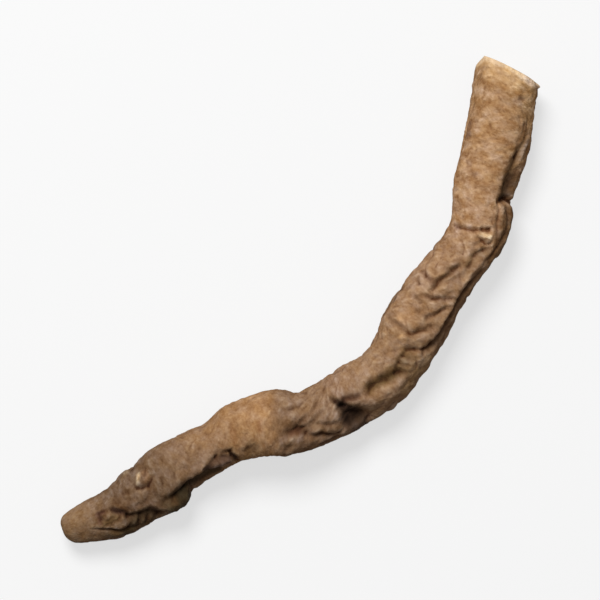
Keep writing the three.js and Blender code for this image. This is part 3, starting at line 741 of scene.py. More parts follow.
STAINS = (
    # The pale rim of the cut, and the straight stretch behind it.
    Stain(HONEY, 0.35, 0.9, ((3.1, -44), (3.3, 40))),
    Stain(HONEY, 0.4, 0.45, ((2.5, -70, 0.8), (2.5, 0, 0.9), (2.6, 50))),
    Stain(CREAM, 0.9, 0.36, ((2.12, -80, 0.7), (2.15, 0, 0.9), (2.2, 45), (2.2, 88))),
    # The pale frayed rim, brightened with painted light on its lower corner, which turns away from
    # the lamp.
    Stain(
        RIM_CREAM_AND_LIGHT, 1.0, 0.45,
        ((2.15, 22, 0.6), (2.3, 36), (2.3, 48), (2.2, 62, 0.9), (2.2, 84, 0.6)),
    ),
    # Painted light: the outer side behind the cut, which turns away from the lamp, is lightened.
    Stain(HONEY, 0.6, 0.5, ((3.2, 44), (5.2, 46), (6.8, 54, 0.5))),
    Stain(PAINTED_GOLDEN_LIGHT, 0.55, 0.8, ((2.8, 58), (5, 66), (7.5, 74, 0.4))),
    Stain(UMBER, 0.35, 0.25, ((3.7, -66), (3.8, -58))),
    # Painted shade along the dash.
    Stain(UMBER, 0.3, 0.3, ((4.65, 40, 0.6), (4.95, 29), (5.3, 18, 0.5))),
    Stain(PLUM, 0.6, 0.6, ((8.3, -68), (9.6, -64))),
    Stain(PLUM, 0.3, 0.3, ((12.2, -46), (13.2, -40), (13.4, -26))),
    # Painted shade down the slit and along its outer fold.
    Stain(RUSSET, 0.3, 0.35, ((6.4, 58, 0.3), (8.2, 50, 0.8), (9.6, 42))),
    Stain(BRONZE, 0.6, 0.5, ((8, 51, 0.3), (10, 42, 0.7), (11.2, 38), (15.2, 38))),
    Stain(GREY_TAN, 0.5, 0.3, ((8.8, 60), (10.2, 54), (11.2, 50, 0.6))),
    # The slit, the notch, the second lip and the chip.
    # Painted shade beyond the slit, in the notch, and under and along the second lip.
    Stain(PAINTED_DEEP_SHADE, 0.65, 0.8, ((11.9, 60, 0.5), (12.8, 54), (15.2, 48))),
    Stain(PAINTED_DEEP_SHADE, 0.6, 0.4, ((15.1, 45), (15.4, 34))),
    Stain(UMBER, 0.8, 1.1, ((16.2, 68), (19, 62), (21.2, 60))),
    Stain(UMBER, 0.4, 0.3, ((16.1, 40), (17.4, 44), (19.4, 50))),
    Stain(CREAM, 0.95, 0.2, ((19.2, 11, 0.5), (19.15, 18), (19.05, 25))),
    # The bend, the long fold on the outer side and the rumpled stretch.
    # Painted shade: a thin dark line along the inner edge of the bend.
    Stain(PAINTED_DEEP_SHADE, 0.3, 0.5, ((21, -82), (24, -80, 0.5))),
    Stain(PAINTED_DEEP_SHADE, 0.5, 0.5, ((27.5, -80, 0.4), (29.5, -78), (31.3, -78))),
    Stain(PLUM, 0.45, 0.3, ((19.4, -50), (19.3, -38))),
    # Painted shade along the long fold on the outer side, below it, and in the rumpled creases.
    Stain(UMBER, 0.6, 0.6, ((22.3, 56), (24, 53), (26, 54), (28, 60), (30.4, 57), (32.2, 46, 0.8))),
    Stain(OLIVE, 0.3, 0.5, ((20.4, 32), (21.6, 20), (23, 22, 0.6))),
    Stain(UMBER, 0.6, 0.35, ((23.3, 4, 0.7), (24, 1), (25.1, -6), (26.3, -9, 0.8))),
    Stain(PLUM, 0.45, 0.3, ((25.75, -48), (26, -18))),
    # Painted shade in two more creases.
    Stain(UMBER, 0.3, 0.3, ((26.6, -46), (27.1, -38))),
    Stain(UMBER, 0.35, 0.3, ((28.35, -28), (28.35, -14))),
    Stain(ORANGE, 0.22, 0.9, ((30.3, -26), (30.6, -6))),
    Stain(ORANGE, 0.4, 0.25, ((31.15, -28), (31.25, -18))),
    Stain(ORANGE, 0.5, 0.28, ((32.5, -12), (32.6, -5))),
    # The trench, and the cavern at its end.
    # Painted shade in the trench and round its short furrows.
    Stain(OLIVE, 0.4, 0.6, ((33.4, 8), (35.4, 14), (36.3, 7), (38.8, 1))),
    Stain(OCHRE, 0.5, 0.55, ((35.4, 20), (36.4, 13), (37.4, 7), (39, 7))),
    Stain(DEEP_OCHRE, 0.5, 0.35, ((35.7, 18), (36.5, 12), (37.5, 5), (38.7, 5))),
    Stain(OLIVE, 0.3, 0.9, ((33.4, 20), (35.4, 30))),
    # Painted light on the underside's edge, which turns away from the lamp.
    Stain(PAINTED_SAND_LIGHT, 0.45, 0.8, ((32.8, 60, 0.8), (36.6, 60))),
    Stain(UMBER, 0.3, 0.7, ((33.6, 12), (34.8, 16), (35.8, 22, 0.7))),
    # Painted shade: the near-black and umber streaks darken the cavern and the pit above it.
    Stain(PAINTED_DEEP_SHADE, 0.9, 0.35, ((42.75, -18, 0.4), (42.55, -12, 0.8), (42.2, -2, 1.1))),
    Stain(PAINTED_DEEP_SHADE, 0.85, 0.75, ((42.35, -3, 0.7), (42.1, 2), (41.8, 14))),
    Stain(UMBER, 0.4, 0.3, ((40.6, 8), (41.4, 3))),
    Stain(OXBLOOD, 0.8, 0.32, ((41.6, -8), (40.9, -5), (40, 1, 0.6))),
    Stain(PAINTED_DEEP_SHADE, 0.8, 1.0, ((41.7, 12, 0.8), (41.6, 25), (41.6, 80))),
    Stain(PAINTED_DEEP_SHADE, 0.6, 0.7, ((42, 20, 0.7), (42.1, 34), (41.9, 54))),
    # The wavy folds and the smooth bulge.
    # Painted shade: the umber streaks lie in the folds, creases and broad valley here, and along
    # the underside's edge.
    Stain(UMBER, 0.35, 0.9, ((44, 40), (46.2, 36, 0.7))),
    Stain(UMBER, 0.35, 0.8, ((46, 10, 0.8), (47.6, 6), (49, 2, 0.7))),
    Stain(UMBER, 0.75, 0.42, ((46.5, 27), (47, 20), (48.1, 21))),
    Stain(UMBER, 0.4, 0.24, ((44.2, -34, 0.4), (44.8, -22), (45.3, -12, 0.4))),
    Stain(UMBER, 0.5, 0.24, ((44.3, -8, 0.4), (44.9, 2), (45.5, 9, 0.4))),
    Stain(UMBER, 0.5, 0.24, ((45.9, -10, 0.4), (46.6, 0), (47, 8, 0.4))),
    Stain(UMBER, 0.4, 0.26, ((46.1, -38, 0.4), (47.2, -31), (48.4, -25, 0.4))),
    Stain(ASHEN, 0.7, 0.3, ((46.8, 32), (46.9, 38))),
    Stain(ASHEN, 0.7, 0.3, ((48.2, 29), (48.6, 33))),
    Stain(ASHEN, 0.3, 0.5, ((46.8, -14), (48.4, -12))),
    Stain(UMBER, 0.3, 0.45, ((47.5, 2), (48.6, -1), (49.3, 5, 0.6))),
    Stain(UMBER, 0.25, 0.3, ((47.4, -32, 0.5), (48.4, -26), (48.9, -20, 0.5))),
    Stain(CHESTNUT, 0.6, 0.3, ((46.9, 24), (47.7, 23))),
    Stain(UMBER, 0.5, 0.8, ((44.6, 70), (49, 72))),
    Stain(COPPER, 0.5, 0.28, ((50.85, -5), (50.95, 8))),
    Stain(COPPER, 0.35, 0.28, ((53.5, -10), (53.7, 16))),
    # The arched fold, and the dark band that runs under the side; most of these paint shade in and
    # round the arch and along the band.
    Stain(OLIVE, 0.35, 0.6, ((51.8, 36), (53, 46))),
    Stain(UMBER, 0.5, 0.45, ((52.2, 38), (53, 42))),
    Stain(UMBER, 0.7, 0.7, ((54.7, 46), (55.4, 34), (56.6, 32), (57.9, 40))),
    Stain(COCOA, 0.75, 0.6, ((55.3, 50), (55.9, 38), (57, 35), (58.2, 42))),
    Stain(ASHEN, 0.45, 0.2, ((56.1, 45), (57.3, 42))),
    Stain(PAINTED_DEEP_SHADE, 0.55, 0.3, ((54.65, 36), (54.55, 60))),
    Stain(PAINTED_OLIVE_SHADE, 0.65, 0.7, ((57, 68), (58.4, 60), (60, 54), (61.5, 46), (62.6, 40, 0.5))),
    Stain(PAINTED_OLIVE_SHADE, 0.85, 1.6, ((61.1, 60), (63.6, 60))),
    Stain(PAINTED_OLIVE_SHADE, 0.5, 0.6, ((62.4, 50), (63.4, 44), (64, 50))),
    Stain(UMBER, 0.5, 0.6, ((62.6, 46), (63.8, 38), (64.4, 44))),
    # The rootlet's stub, the wrinkled hollow and the tip.
    Stain(CINNAMON, 0.6, 0.4, ((63.5, -34), (63.7, -14))),
    Stain(CREAM, 0.5, 0.24, ((64.15, -38, 0.5), (64.3, -31), (64.6, -23, 0.7))),
    Stain(CREAM, 0.55, 0.12, ((64.2, -35, 0.6), (64.35, -30), (64.5, -27, 0.5))),
    Stain(GREY_TAN, 0.5, 0.16, ((64.6, -22, 0.6), (64.3, -19), (63.9, -22, 0.6))),
    Stain(OLIVE, 0.35, 0.5, ((64.9, -68), (65.9, -60))),
    # Most of the dark streaks from here on are painted shade: round the stub, in the wrinkled
    # hollow and its creases, and over the lower side before the tip.
    Stain(UMBER, 0.5, 0.4, ((63.2, -14), (63.9, -3), (64.9, -6))),
    Stain(UMBER, 0.45, 1.2, ((64.3, 8), (67, 2), (69.5, 4))),
    Stain(UMBER, 0.25, 1.2, ((61, -14), (62.6, -10))),
    Stain(UMBER, 0.6, 0.9, ((64.8, 56), (65.6, 44), (67, 36), (68, 18, 0.7))),
    Stain(UMBER, 0.45, 0.5, ((67.6, 22), (68, 2))),
    Stain(UMBER, 0.75, 1.0, ((64.8, 72), (66.5, 62), (68.2, 60, 0.8))),
    Stain(GREY_TAN, 0.35, 0.22, ((68, 34), (69.2, 33), (71, 24))),
    Stain(PAINTED_BLACK_SHADE, 0.85, 0.32, ((67.5, 19, 0.7), (67.9, 10), (68.6, -2, 0.8))),
    Stain(UMBER, 0.45, 0.3, ((66.1, -20), (66.7, -24))),
    Stain(MAROON, 0.7, 0.3, ((69.5, -6), (70.2, -5), (70.2, 6, 0.6))),
    Stain(GREY_TAN, 0.25, 0.16, ((69.3, 4), (69.5, 8))),
    Stain(GREY_TAN, 0.35, 0.16, ((66.1, 8), (66.5, 10))),
    Stain(GREY_TAN, 0.35, 0.16, ((67, 18), (67.3, 20))),
    Stain(MAROON, 0.6, 0.22, ((70.2, 8), (70.3, 16))),
    Stain(GREY_TAN, 0.3, 0.14, ((66.1, 48), (66.6, 54))),
    Stain(GREY_TAN, 0.3, 0.14, ((67.3, 44), (67.7, 50))),
    Stain(GREY_TAN, 0.4, 0.2, ((68.4, 29), (68.9, 27))),
    Stain(OLIVE, 0.5, 0.4, ((68.8, 14), (69.8, 17))),
    Stain(PAINTED_OLIVE_SHADE, 0.5, 0.9, ((64.8, 62), (66.6, 52), (68.4, 58))),
    Stain(PAINTED_OLIVE_SHADE, 0.45, 0.6, ((65.4, 42), (66.6, 38), (67.8, 42, 0.8))),
    Stain(PAINTED_OLIVE_SHADE, 0.55, 0.6, ((67.8, 66), (69.2, 58), (70.6, 48, 0.5))),
    Stain(OLIVE, 0.5, 0.5, ((68, 52), (69.4, 48))),
)


@dataclass(frozen=True)
class Pattern:
    """A noise stretched and wound over the bark: its sizes along and round it, and its lean."""

    seed: float
    along: float
    around: float
    lean: float = 0.0

    def value(self, at: Array, angle: Array) -> Array:
        """Return the noise, about -1 to 1.

        Args:
            at: Distances along the route.
            angle: Angles round the root.

        Returns:
            The noise at each place.
        """
        turn = np.radians(angle + self.lean * at)
        reach = MEAN_RADIUS / self.around
        places = np.stack([at / self.along, reach * np.sin(turn), reach * np.cos(turn)], 1)
        return noise_at(places, self.seed)


class LumpForm(Enum):
    """How the bark rises and falls from lump to lump."""

    ROLLING = "evenly up and down"
    CREASED = "in rounded lumps with sharp valleys between them"


@dataclass(frozen=True)
class Lumps:
    """An uneven swell of the bark that follows a pattern, by a strength along the route."""

    pattern: Pattern
    height: float
    strength: Strengths
    form: LumpForm = LumpForm.ROLLING

    def relief(self, at: Array, angle: Array) -> Array:
        """Return how far the lumps lift the bark.

        Args:
            at: Distances along the route.
            angle: Angles round the root.

        Returns:
            The height at each place.
        """
        places, values = zip(*self.strength)
        swell = self.pattern.value(at, angle)
        if self.form is LumpForm.CREASED:
            swell = CREASED_GAIN * np.abs(swell) ** CREASED_POWER - CREASED_DROP
        return self.height * swell * np.interp(at, places, values)


@dataclass(frozen=True)
class Drift:
    """An uneven shift of all that is worked into the bark, so that no line runs quite straight."""

    along: Pattern
    around: Pattern
    far: float


# How strong the lumps are along the route, from the rumpled stretches to the finest grain.
RUMPLED = (
    (0, 0.3), (16, 0.4), (20, 0.7), (24, 1.0), (33, 1.0), (38, 0.7), (46, 0.8), (49, 0.35),
    (54, 0.35), (58, 0.5), (64, 0.7), (69, 0.9), (71, 0.3),
)
FINE = (
    (0, 0.9), (18, 0.95), (22, 0.7), (32, 0.65), (36, 0.75), (40, 0.6), (46, 0.7), (50, 0.7),
    (57, 0.65), (63, 0.85), (69, 0.85), (72, 0.6),
)
GRAINY = ((0, 0.9), (19, 1), (24, 0.35), (44, 0.4), (51, 0.7), (69, 0.8), (72, 0.6))
WRINKLED_EARLY = ((0, 0), (17, 0.2), (22, 1), (34, 1), (39, 0))
WRINKLED_LATE = ((36, 0), (42, 1), (49, 1), (51, 0.3), (57, 0.7), (69, 0.8), (71, 0))

LUMPS = (
    Lumps(Pattern(21, 3.6, 2.2, -5), 0.14, RUMPLED),
    Lumps(Pattern(22, 1.7, 1.5, -8), 0.12, RUMPLED, LumpForm.CREASED),
    Lumps(Pattern(25, 0.9, 1.1, 5), 0.07, FINE),
    Lumps(Pattern(23, 0.55, 0.65, 6), 0.075, FINE),
    Lumps(Pattern(24, 0.27, 0.36), 0.04, GRAINY),
    Lumps(Pattern(26, 1.7, 0.6, 16), 0.08, WRINKLED_EARLY),
    Lumps(Pattern(27, 1.7, 0.6, -18), 0.09, WRINKLED_LATE),
)

DRIFTS = (
    Drift(Pattern(31, 2.2, 2.2), Pattern(32, 2.2, 2.2), 0.22),
    Drift(Pattern(33, 0.7, 0.7), Pattern(34, 0.7, 0.7), 0.1),
)

# How mottled the bark is along the route.
MOTTLED = (
    (0, 0.2), (2.5, 0.3), (3.4, 0.8), (17, 0.8), (22, 0.6), (25, 0.5), (33, 0.45), (44, 0.45),
    (50, 0.5), (60, 0.45), (63, 0.8), (70, 0.8), (72, 0.5),
)


# ---- The root's mesh ----------------------------------------------------------------------------


@dataclass(frozen=True)
class Cut:
    """The slanting cut: where it crosses the middle line, how it leans, and where it is chipped.

    Its slant fades out along the root. On the inner side, beyond the corner, it falls back more
    steeply.
    """

    at: float = 1.95
    lean_sideways: float = 0.36
    lean_down: float = 0.05
    straight_after: float = 7.0
    corner: float = 2.75
    corner_fall: float = 1.6

    def slant(self, at: Array, sideways: Array, up: Array) -> Array:
        """Return how far places near the cut are carried along the root by its slant.

        Args:
            at: Their distances along the route.
            sideways: How far they lie towards the outer side of the bow.
            up: How far they lie over the middle line.

        Returns:
            The distance that each place moves.
        """
        fade = np.clip(1 - (at - self.at) / self.straight_after, 0, 1)
        corner = np.maximum(0, -sideways - self.corner) * self.corner_fall
        return fade * (self.lean_sideways * sideways - self.lean_down * up + corner)


@dataclass(frozen=True)
class HollowRing:
    """One ring of the hollow's wall: depth behind the cut, and half widths."""

    depth: float
    across: float
    high: float


class Ring(NamedTuple):
    """One ring of the straight root: its half sizes and its middle."""

    size: Vector
    middle: Vector


@dataclass
class RootBody:
    """The root's body, modelled straight as rings and then subdivided."""

    cut: Cut = Cut()
    sides: int = 20
    ring_step: float = 1.1
    round_tip: float = 3.0
    tip_rings: int = 4
    rim_round: float = 0.14
    rim_scale: float = 0.965
    cage_swell: float = 1.018
    fine_levels: int = 3
    hollow_middle: tuple[float, float] = (0.3, 0.2)
    hollow: tuple[HollowRing, ...] = (
        HollowRing(0.0, 1.75, 1.95),
        HollowRing(0.25, 1.35, 1.55),
        HollowRing(1.2, 1.1, 1.3),
        HollowRing(3.0, 1.0, 1.25),
        HollowRing(5.5, 0.9, 1.1),
        HollowRing(8.0, 0.7, 0.85),
        HollowRing(9.3, 0.4, 0.5),
    )

    def distances(self) -> list[float]:
        """Return the distances of the bark's rings, closing up on the tip.

        Returns:
            Even steps up to the rounded tip, and ever shorter ones round it.
        """
        start = self.cut.at + self.rim_round
        end = TIP_AT - self.round_tip
        steps = round((end - start) / self.ring_step)
        even = [start + (end - start) * i / steps for i in range(steps + 1)]
        turns = [(i + 1) / (self.tip_rings + 1) * math.pi / 2 for i in range(self.tip_rings)]
        return even + [end + self.round_tip * math.sin(turn) for turn in turns]

    def bark_ring(self, at: float) -> Ring:
        """Return one ring of the bark, before the bark is worked.

        Args:
            at: Its distance along the route.

        Returns:
            The ring.
        """
        inner, outer = float(PROFILE.column("inner", at)), float(PROFILE.column("outer", at))
        high = float(PROFILE.column("high", at))
        size = Vector((1, 0.5 * (inner + outer), high)) * self.cage_swell
        return Ring(size, Vector((at, 0.5 * (outer - inner), float(PROFILE.middle(at)))))

    def hollow_rings(self, middle: Vector) -> list[Ring]:
        """Return the rings of the hollow's wall.

        Args:
            middle: The middle of the cut.

        Returns:
            The rings, from the cut inwards.
        """
        rings = []
        for ring in self.hollow:
            place = middle + Vector((ring.depth, *self.hollow_middle))
            rings.append(Ring(Vector((1, ring.across, ring.high)), place))
        return rings

    def first_ring(self, rim: Ring) -> bpy.types.Object:
        """Add the rim of the cut as a circle across the root.

        Args:
            rim: Its size and place.

        Returns:
            The new piece, open for editing and selected all over.
        """
        bpy.ops.object.select_all(action="DESELECT")
        across = (math.pi / 2, 0, math.pi / 2)
        bpy.ops.mesh.primitive_circle_add(
            vertices=self.sides, radius=1, location=rim.middle, rotation=across
        )
        root = bpy.context.object
        root.name = PIECE
        bpy.ops.object.transform_apply(location=True, rotation=True, scale=True)
        bpy.ops.object.mode_set(mode="EDIT")
        bpy.ops.mesh.select_all(action="SELECT")
        bpy.ops.transform.resize(value=rim.size, center_override=rim.middle)
        return root

    def chain(self, rings: Sequence[Ring]) -> None:
        """Extrude the selected ring through a chain of rings and close the last on one point.

        Args:
            rings: The selected ring and those that follow it.
        """
        for ring, following in zip(rings[:-1], rings[1:]):
            grow = Vector((1, following.size.y / ring.size.y, following.size.z / ring.size.z))
            step = following.middle - ring.middle
            bpy.ops.mesh.extrude_region_move(TRANSFORM_OT_translate={"value": step})
            bpy.ops.transform.resize(value=grow, center_override=ring.middle + step)
        bpy.ops.mesh.extrude_region_move(TRANSFORM_OT_translate={"value": (0, 0, 0)})
        bpy.ops.mesh.merge(type="CENTER")

    def select_rim(self, root: bpy.types.Object) -> int:
        """Select the rim again once the bark is closed at its tip.

        Args:
            root: The piece, open for editing.

        Returns:
            How many points the bark has.
        """
        bpy.ops.object.mode_set(mode="OBJECT")
        for vertex in root.data.vertices:
            vertex.select = vertex.index < self.sides
        count = len(root.data.vertices)
        bpy.ops.object.mode_set(mode="EDIT")
        bpy.ops.mesh.select_mode(type="VERT")
        return count

    def mark(self, root: bpy.types.Object, bark_count: int) -> None:
        """Mark the hollow, and the cut from its rim inwards, as attributes.

        Args:
            root: The piece.
            bark_count: How many points the bark has; those of the hollow come after them.
        """
        hollow = [float(vertex.index >= bark_count) for vertex in root.data.vertices]
        cut = [1.0] * self.sides + hollow[self.sides :]
        for name, values in (("hollow", hollow), ("cut", cut)):
            mark = root.data.attributes.new(name, "FLOAT", "POINT")
            mark.data.foreach_set("value", values)

    def build(self) -> bpy.types.Object:
        """Model the straight root.

        Returns:
            The subdivided root, marked where it is cut and hollow.
        """
        size, middle = self.bark_ring(self.cut.at)
        rim = Ring(Vector((1, size.y * self.rim_scale, size.z * self.rim_scale)), middle)
        root = self.first_ring(rim)
        self.chain([rim] + [self.bark_ring(at) for at in self.distances()])
        bark_count = self.select_rim(root)
        self.chain([rim] + self.hollow_rings(middle))
        bpy.ops.mesh.select_all(action="SELECT")
        bpy.ops.mesh.normals_make_consistent(inside=False)
        bpy.ops.object.mode_set(mode="OBJECT")
        self.mark(root, bark_count)
        fine = root.modifiers.new("fine", "SUBSURF")
        fine.levels = fine.render_levels = self.fine_levels
        bpy.ops.object.modifier_apply(modifier=fine.name)
        bpy.ops.object.shade_smooth()
        return root


@dataclass
class Bark:
    """The bark's relief, worked into the straight root.

    fine_rounds and broad_rounds are how often the bark is smoothed to find its fine and its broad
    hollows, and fine_depth and broad_depth are the depths that count as 1.
    """

    cut: Cut = Cut()
    fine_rounds: int = 3
    fine_depth: float = 0.012
    broad_rounds: int = 30
    broad_depth: float = 0.07

    def places(self, points: Array) -> tuple[Array, Array, Array]:
        """Find where points lie on the bark.

        Args:
            points: Points of the straight root, one in each row.

        Returns:
            Each point's distance along the route, its angle and its plain radius.
        """
        at = np.clip(points[:, 0], 0, TIP_AT)
        outer, inner = PROFILE.column("outer", at), PROFILE.column("inner", at)
        across = np.maximum(np.where(points[:, 1] > 0, outer, inner), LEAST_RADIUS)
        high = np.maximum(PROFILE.column("high", at), LEAST_RADIUS)
        up = points[:, 2] - PROFILE.middle(at)
        turn = np.arctan2(points[:, 1] / across, up / high)
        plain = np.hypot(across * np.sin(turn), high * np.cos(turn))
        return at, np.degrees(turn), plain

    def drifted(self, at: Array, angle: Array) -> tuple[Array, Array]:
        """Shift places unevenly on the bark.

        Args:
            at: Distances along the route.
            angle: Angles round the root.

        Returns:
            The distances and angles of the shifted places.
        """
        along, around = np.zeros(at.shape), np.zeros(at.shape)
        for drift in DRIFTS:
            along += drift.far * drift.along.value(at, angle)
            around += drift.far * drift.around.value(at, angle)
        return at + along, angle + np.degrees(around / MEAN_RADIUS)

    def worked(self, at: Array, angle: Array) -> Worked:
        """Work every fold, swelling, wave and lump into the bark.

        Args:
            at: Drifted distances along the route.
            angle: Drifted angles round the root.

        Returns:
            All that is worked in at each place.
        """
        worked = Worked(*(np.zeros(at.shape) for _ in range(4)))
        for fold in FOLDS:
            fold.work(at, angle, worked)
        for swell in (*SWELLINGS, *WAVES, *LUMPS):
            worked.height += swell.relief(at, angle)
        return worked

    def tone(self, at: Array, drifted: tuple[Array, Array]) -> Array:
        """Colour the bark along its route and stain it, painting shade and light with many of the
        stains.

        Args:
            at: Distances along the route.
            drifted: The drifted distances and angles of the same places.

        Returns:
            The bark's colour at each place, with its painted shade and light.
        """
        places, colours = zip(*TONES)
        tone = np.stack([np.interp(at, places, channel) for channel in zip(*colours)], 1)
        for stain in STAINS:
            stain.tint(*drifted, tone)
        return tone

    def move(self, points: Array, at: Array, plain: Array, worked: Worked, bark: Array) -> None:
        """Move points by what is worked into the bark, and slant those near the cut.

        Args:
            points: Points of the straight root, one in each row, which are moved.
            at: Their distances along the route.
            plain: Their plain radii.
            worked: What is worked in at each of them.
            bark: 1 on the bark and 0 in the hollow.
        """
        fade = np.minimum(1, plain / MEAN_RADIUS) * bark
        share = 1 + fade * worked.height / plain
        turn = fade * worked.around / MEAN_RADIUS
        cos, sin = np.cos(turn), np.sin(turn)
        middle = PROFILE.middle(at)
        up, sideways = (points[:, 2] - middle) * share, points[:, 1] * share
        up, sideways = up * cos - sideways * sin, sideways * cos + up * sin
        points[:, 0] += self.cut.slant(points[:, 0], sideways, up) + fade * worked.along
        points[:, 1] = sideways
        points[:, 2] = np.maximum(middle + up, 0)

    def work(self, root: bpy.types.Object) -> None:
        """Work the bark's relief into the root and keep what its finish reads as attributes.

        Args:
            root: The straight root.
        """
        mesh = root.data
        points = np.zeros(len(mesh.vertices) * 3)
        mesh.vertices.foreach_get("co", points)
        points = points.reshape(-1, 3)
        hollow = np.zeros(len(points))
        mesh.attributes["hollow"].data.foreach_get("value", hollow)
        at, angle, plain = self.places(points)
        drifted = self.drifted(at, angle)
        worked = self.worked(*drifted)
        self.move(points, at, plain, worked, 1 - hollow)
        mesh.vertices.foreach_set("co", points.ravel())
        mesh.update()
        turn = np.radians(angle)
        straight = np.stack([at, MEAN_RADIUS * np.sin(turn), MEAN_RADIUS * np.cos(turn)], 1)
        self.keep(mesh, "straight", straight)
        self.keep(mesh, "tone", self.tone(at, drifted))
        self.keep(mesh, "mottled", np.interp(at, *zip(*MOTTLED)))
        # The painted shade along the folds, none in the hollow.
        self.keep(mesh, "crease", worked.dark * (1 - hollow))
        # How deep each point lies in fine and broad hollows: the finish paints shade into hollows
        # and pales the ridges.
        fine = self.hollowness(mesh, points, self.fine_rounds)
        broad = self.hollowness(mesh, points, self.broad_rounds)
        self.keep(mesh, "fine_hollow", fine / self.fine_depth)
        self.keep(mesh, "broad_hollow", broad / self.broad_depth)

    def keep(self, mesh: bpy.types.Mesh, name: str, values: Array) -> None:
        """Keep a number or a vector for each point as an attribute.

        Args:
            mesh: The mesh that gets it.
            name: The attribute's name.
            values: One number or one row of three for each point.
        """
        vector = values.ndim == 2
        attribute = mesh.attributes.new(name, "FLOAT_VECTOR" if vector else "FLOAT", "POINT")
        attribute.data.foreach_set("vector" if vector else "value", values.ravel())

    def hollowness(self, mesh: bpy.types.Mesh, points: Array, rounds: int) -> Array:
        """Return how far each point lies below the bark around it, in millimetres.

        Args:
            mesh: The mesh, for its edges and normals.
            points: Its points.
            rounds: How often the bark is smoothed to find its mean surface.

        Returns:
            The depth of each point, below 0 on ridges.
        """
        edges = np.zeros(len(mesh.edges) * 2, np.int32)
        mesh.edges.foreach_get("vertices", edges)
        edges = edges.reshape(-1, 2)
        here, there = np.concatenate([edges, edges[:, ::-1]]).T
        count = np.bincount(here, minlength=len(points))
        normals = np.zeros(len(points) * 3)
        mesh.vertex_normals.foreach_get("vector", normals)
        mean = points.copy()
        for _ in range(rounds):
            near = [np.bincount(here, mean[there, axis], len(points)) / count for axis in range(3)]
            mean = 0.5 * mean + 0.5 * np.stack(near, 1)
        return ((mean - points) * normals.reshape(-1, 3)).sum(1)


@dataclass
class Lay:
    """How the straight root is bent along its route and laid in the solid's box.

    The route's curve has curve_steps steps from point to point. The handles at a point are as long
    as the way between the points on either side of it, divided by handle_part.
    """

    route: Sequence[tuple[float, float]] = ROUTE
    curve_steps: int = 48
    handle_part: float = 6.0

    def route_curve(self) -> bpy.types.Object:
        """Draw the route as a smooth curve on the ground.

        Returns:
            The curve.
        """
        data = bpy.data.curves.new("route", "CURVE")
        data.dimensions = "3D"
        data.twist_mode = "Z_UP"
        data.resolution_u = self.curve_steps
        spline = data.splines.new("BEZIER")
        spline.bezier_points.add(len(self.route) - 1)
        points = [Vector((x, y, 0)) for x, y in self.route]
        ends = [2 * points[0] - points[1], *points, 2 * points[-1] - points[-2]]
        for knot, before, here, after in zip(spline.bezier_points, ends, points, ends[2:]):
            handle = (after - before) / self.handle_part
            knot.co = here
            knot.handle_left = here - handle
            knot.handle_right = here + handle
        curve = bpy.data.objects.new("route", data)
        bpy.context.scene.collection.objects.link(curve)
        return curve

    def bend(self, root: bpy.types.Object) -> None:
        """Bend the root along its route.

        Args:
            root: The straight root.
        """
        curve = self.route_curve()
        modifier = root.modifiers.new("bend", "CURVE")
        modifier.object = curve
        modifier.deform_axis = "POS_X"
        bpy.ops.object.select_all(action="DESELECT")
        root.select_set(True)
        bpy.context.view_layer.objects.active = root
        bpy.ops.object.modifier_apply(modifier=modifier.name)
        bpy.data.objects.remove(curve)

    def settle(self, root: bpy.types.Object) -> None:
        """Turn the root into metres and lay it in the box of the solid it stands for.

        Args:
            root: The bent root, in millimetres.
        """
        low, high = (np.array(corner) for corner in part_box(NODE))
        points = np.array([vertex.co for vertex in root.data.vertices])
        own_low, own_high = points.min(0), points.max(0)
        shrink = min(MM, float(((high - low) / (own_high - own_low)).min()))
        middle = 0.5 * (low + high)
        own_middle = 0.5 * (own_low + own_high)
        move = Matrix.Translation(Vector((middle[0], middle[1], low[2])))
        back = Matrix.Translation(Vector((-own_middle[0], -own_middle[1], -own_low[2])))
        root.data.transform(move @ Matrix.Scale(shrink, 4) @ back)
        root.data.update()
        LOG.info("laid at %.4f of its drawn size", shrink / MM)


# ---- Finish -------------------------------------------------------------------------------------


Socket = bpy.types.NodeSocket
Value = Union[Socket, float, Sequence[float]]

# The Mix node's sockets for colours: the share, the two colours and the result.
MIX_INPUTS = (0, 6, 7)
MIX_RESULT = 2


class Span(NamedTuple):
    """How a value is moved from one range to another and held inside it."""

    low: float
    high: float
    to_low: float
    to_high: float


@dataclass(frozen=True)
class Cloud:
    """A noise of about 0 to 1, and how places are stretched for it where they are."""

    scale: float
    detail: float = 3.0
    rough: float = 0.55
    stretch: Axes | None = None


def opaque(colour: Colour) -> tuple[float, ...]:
    """Return a colour with full cover."""
    return (*colour, 1.0)


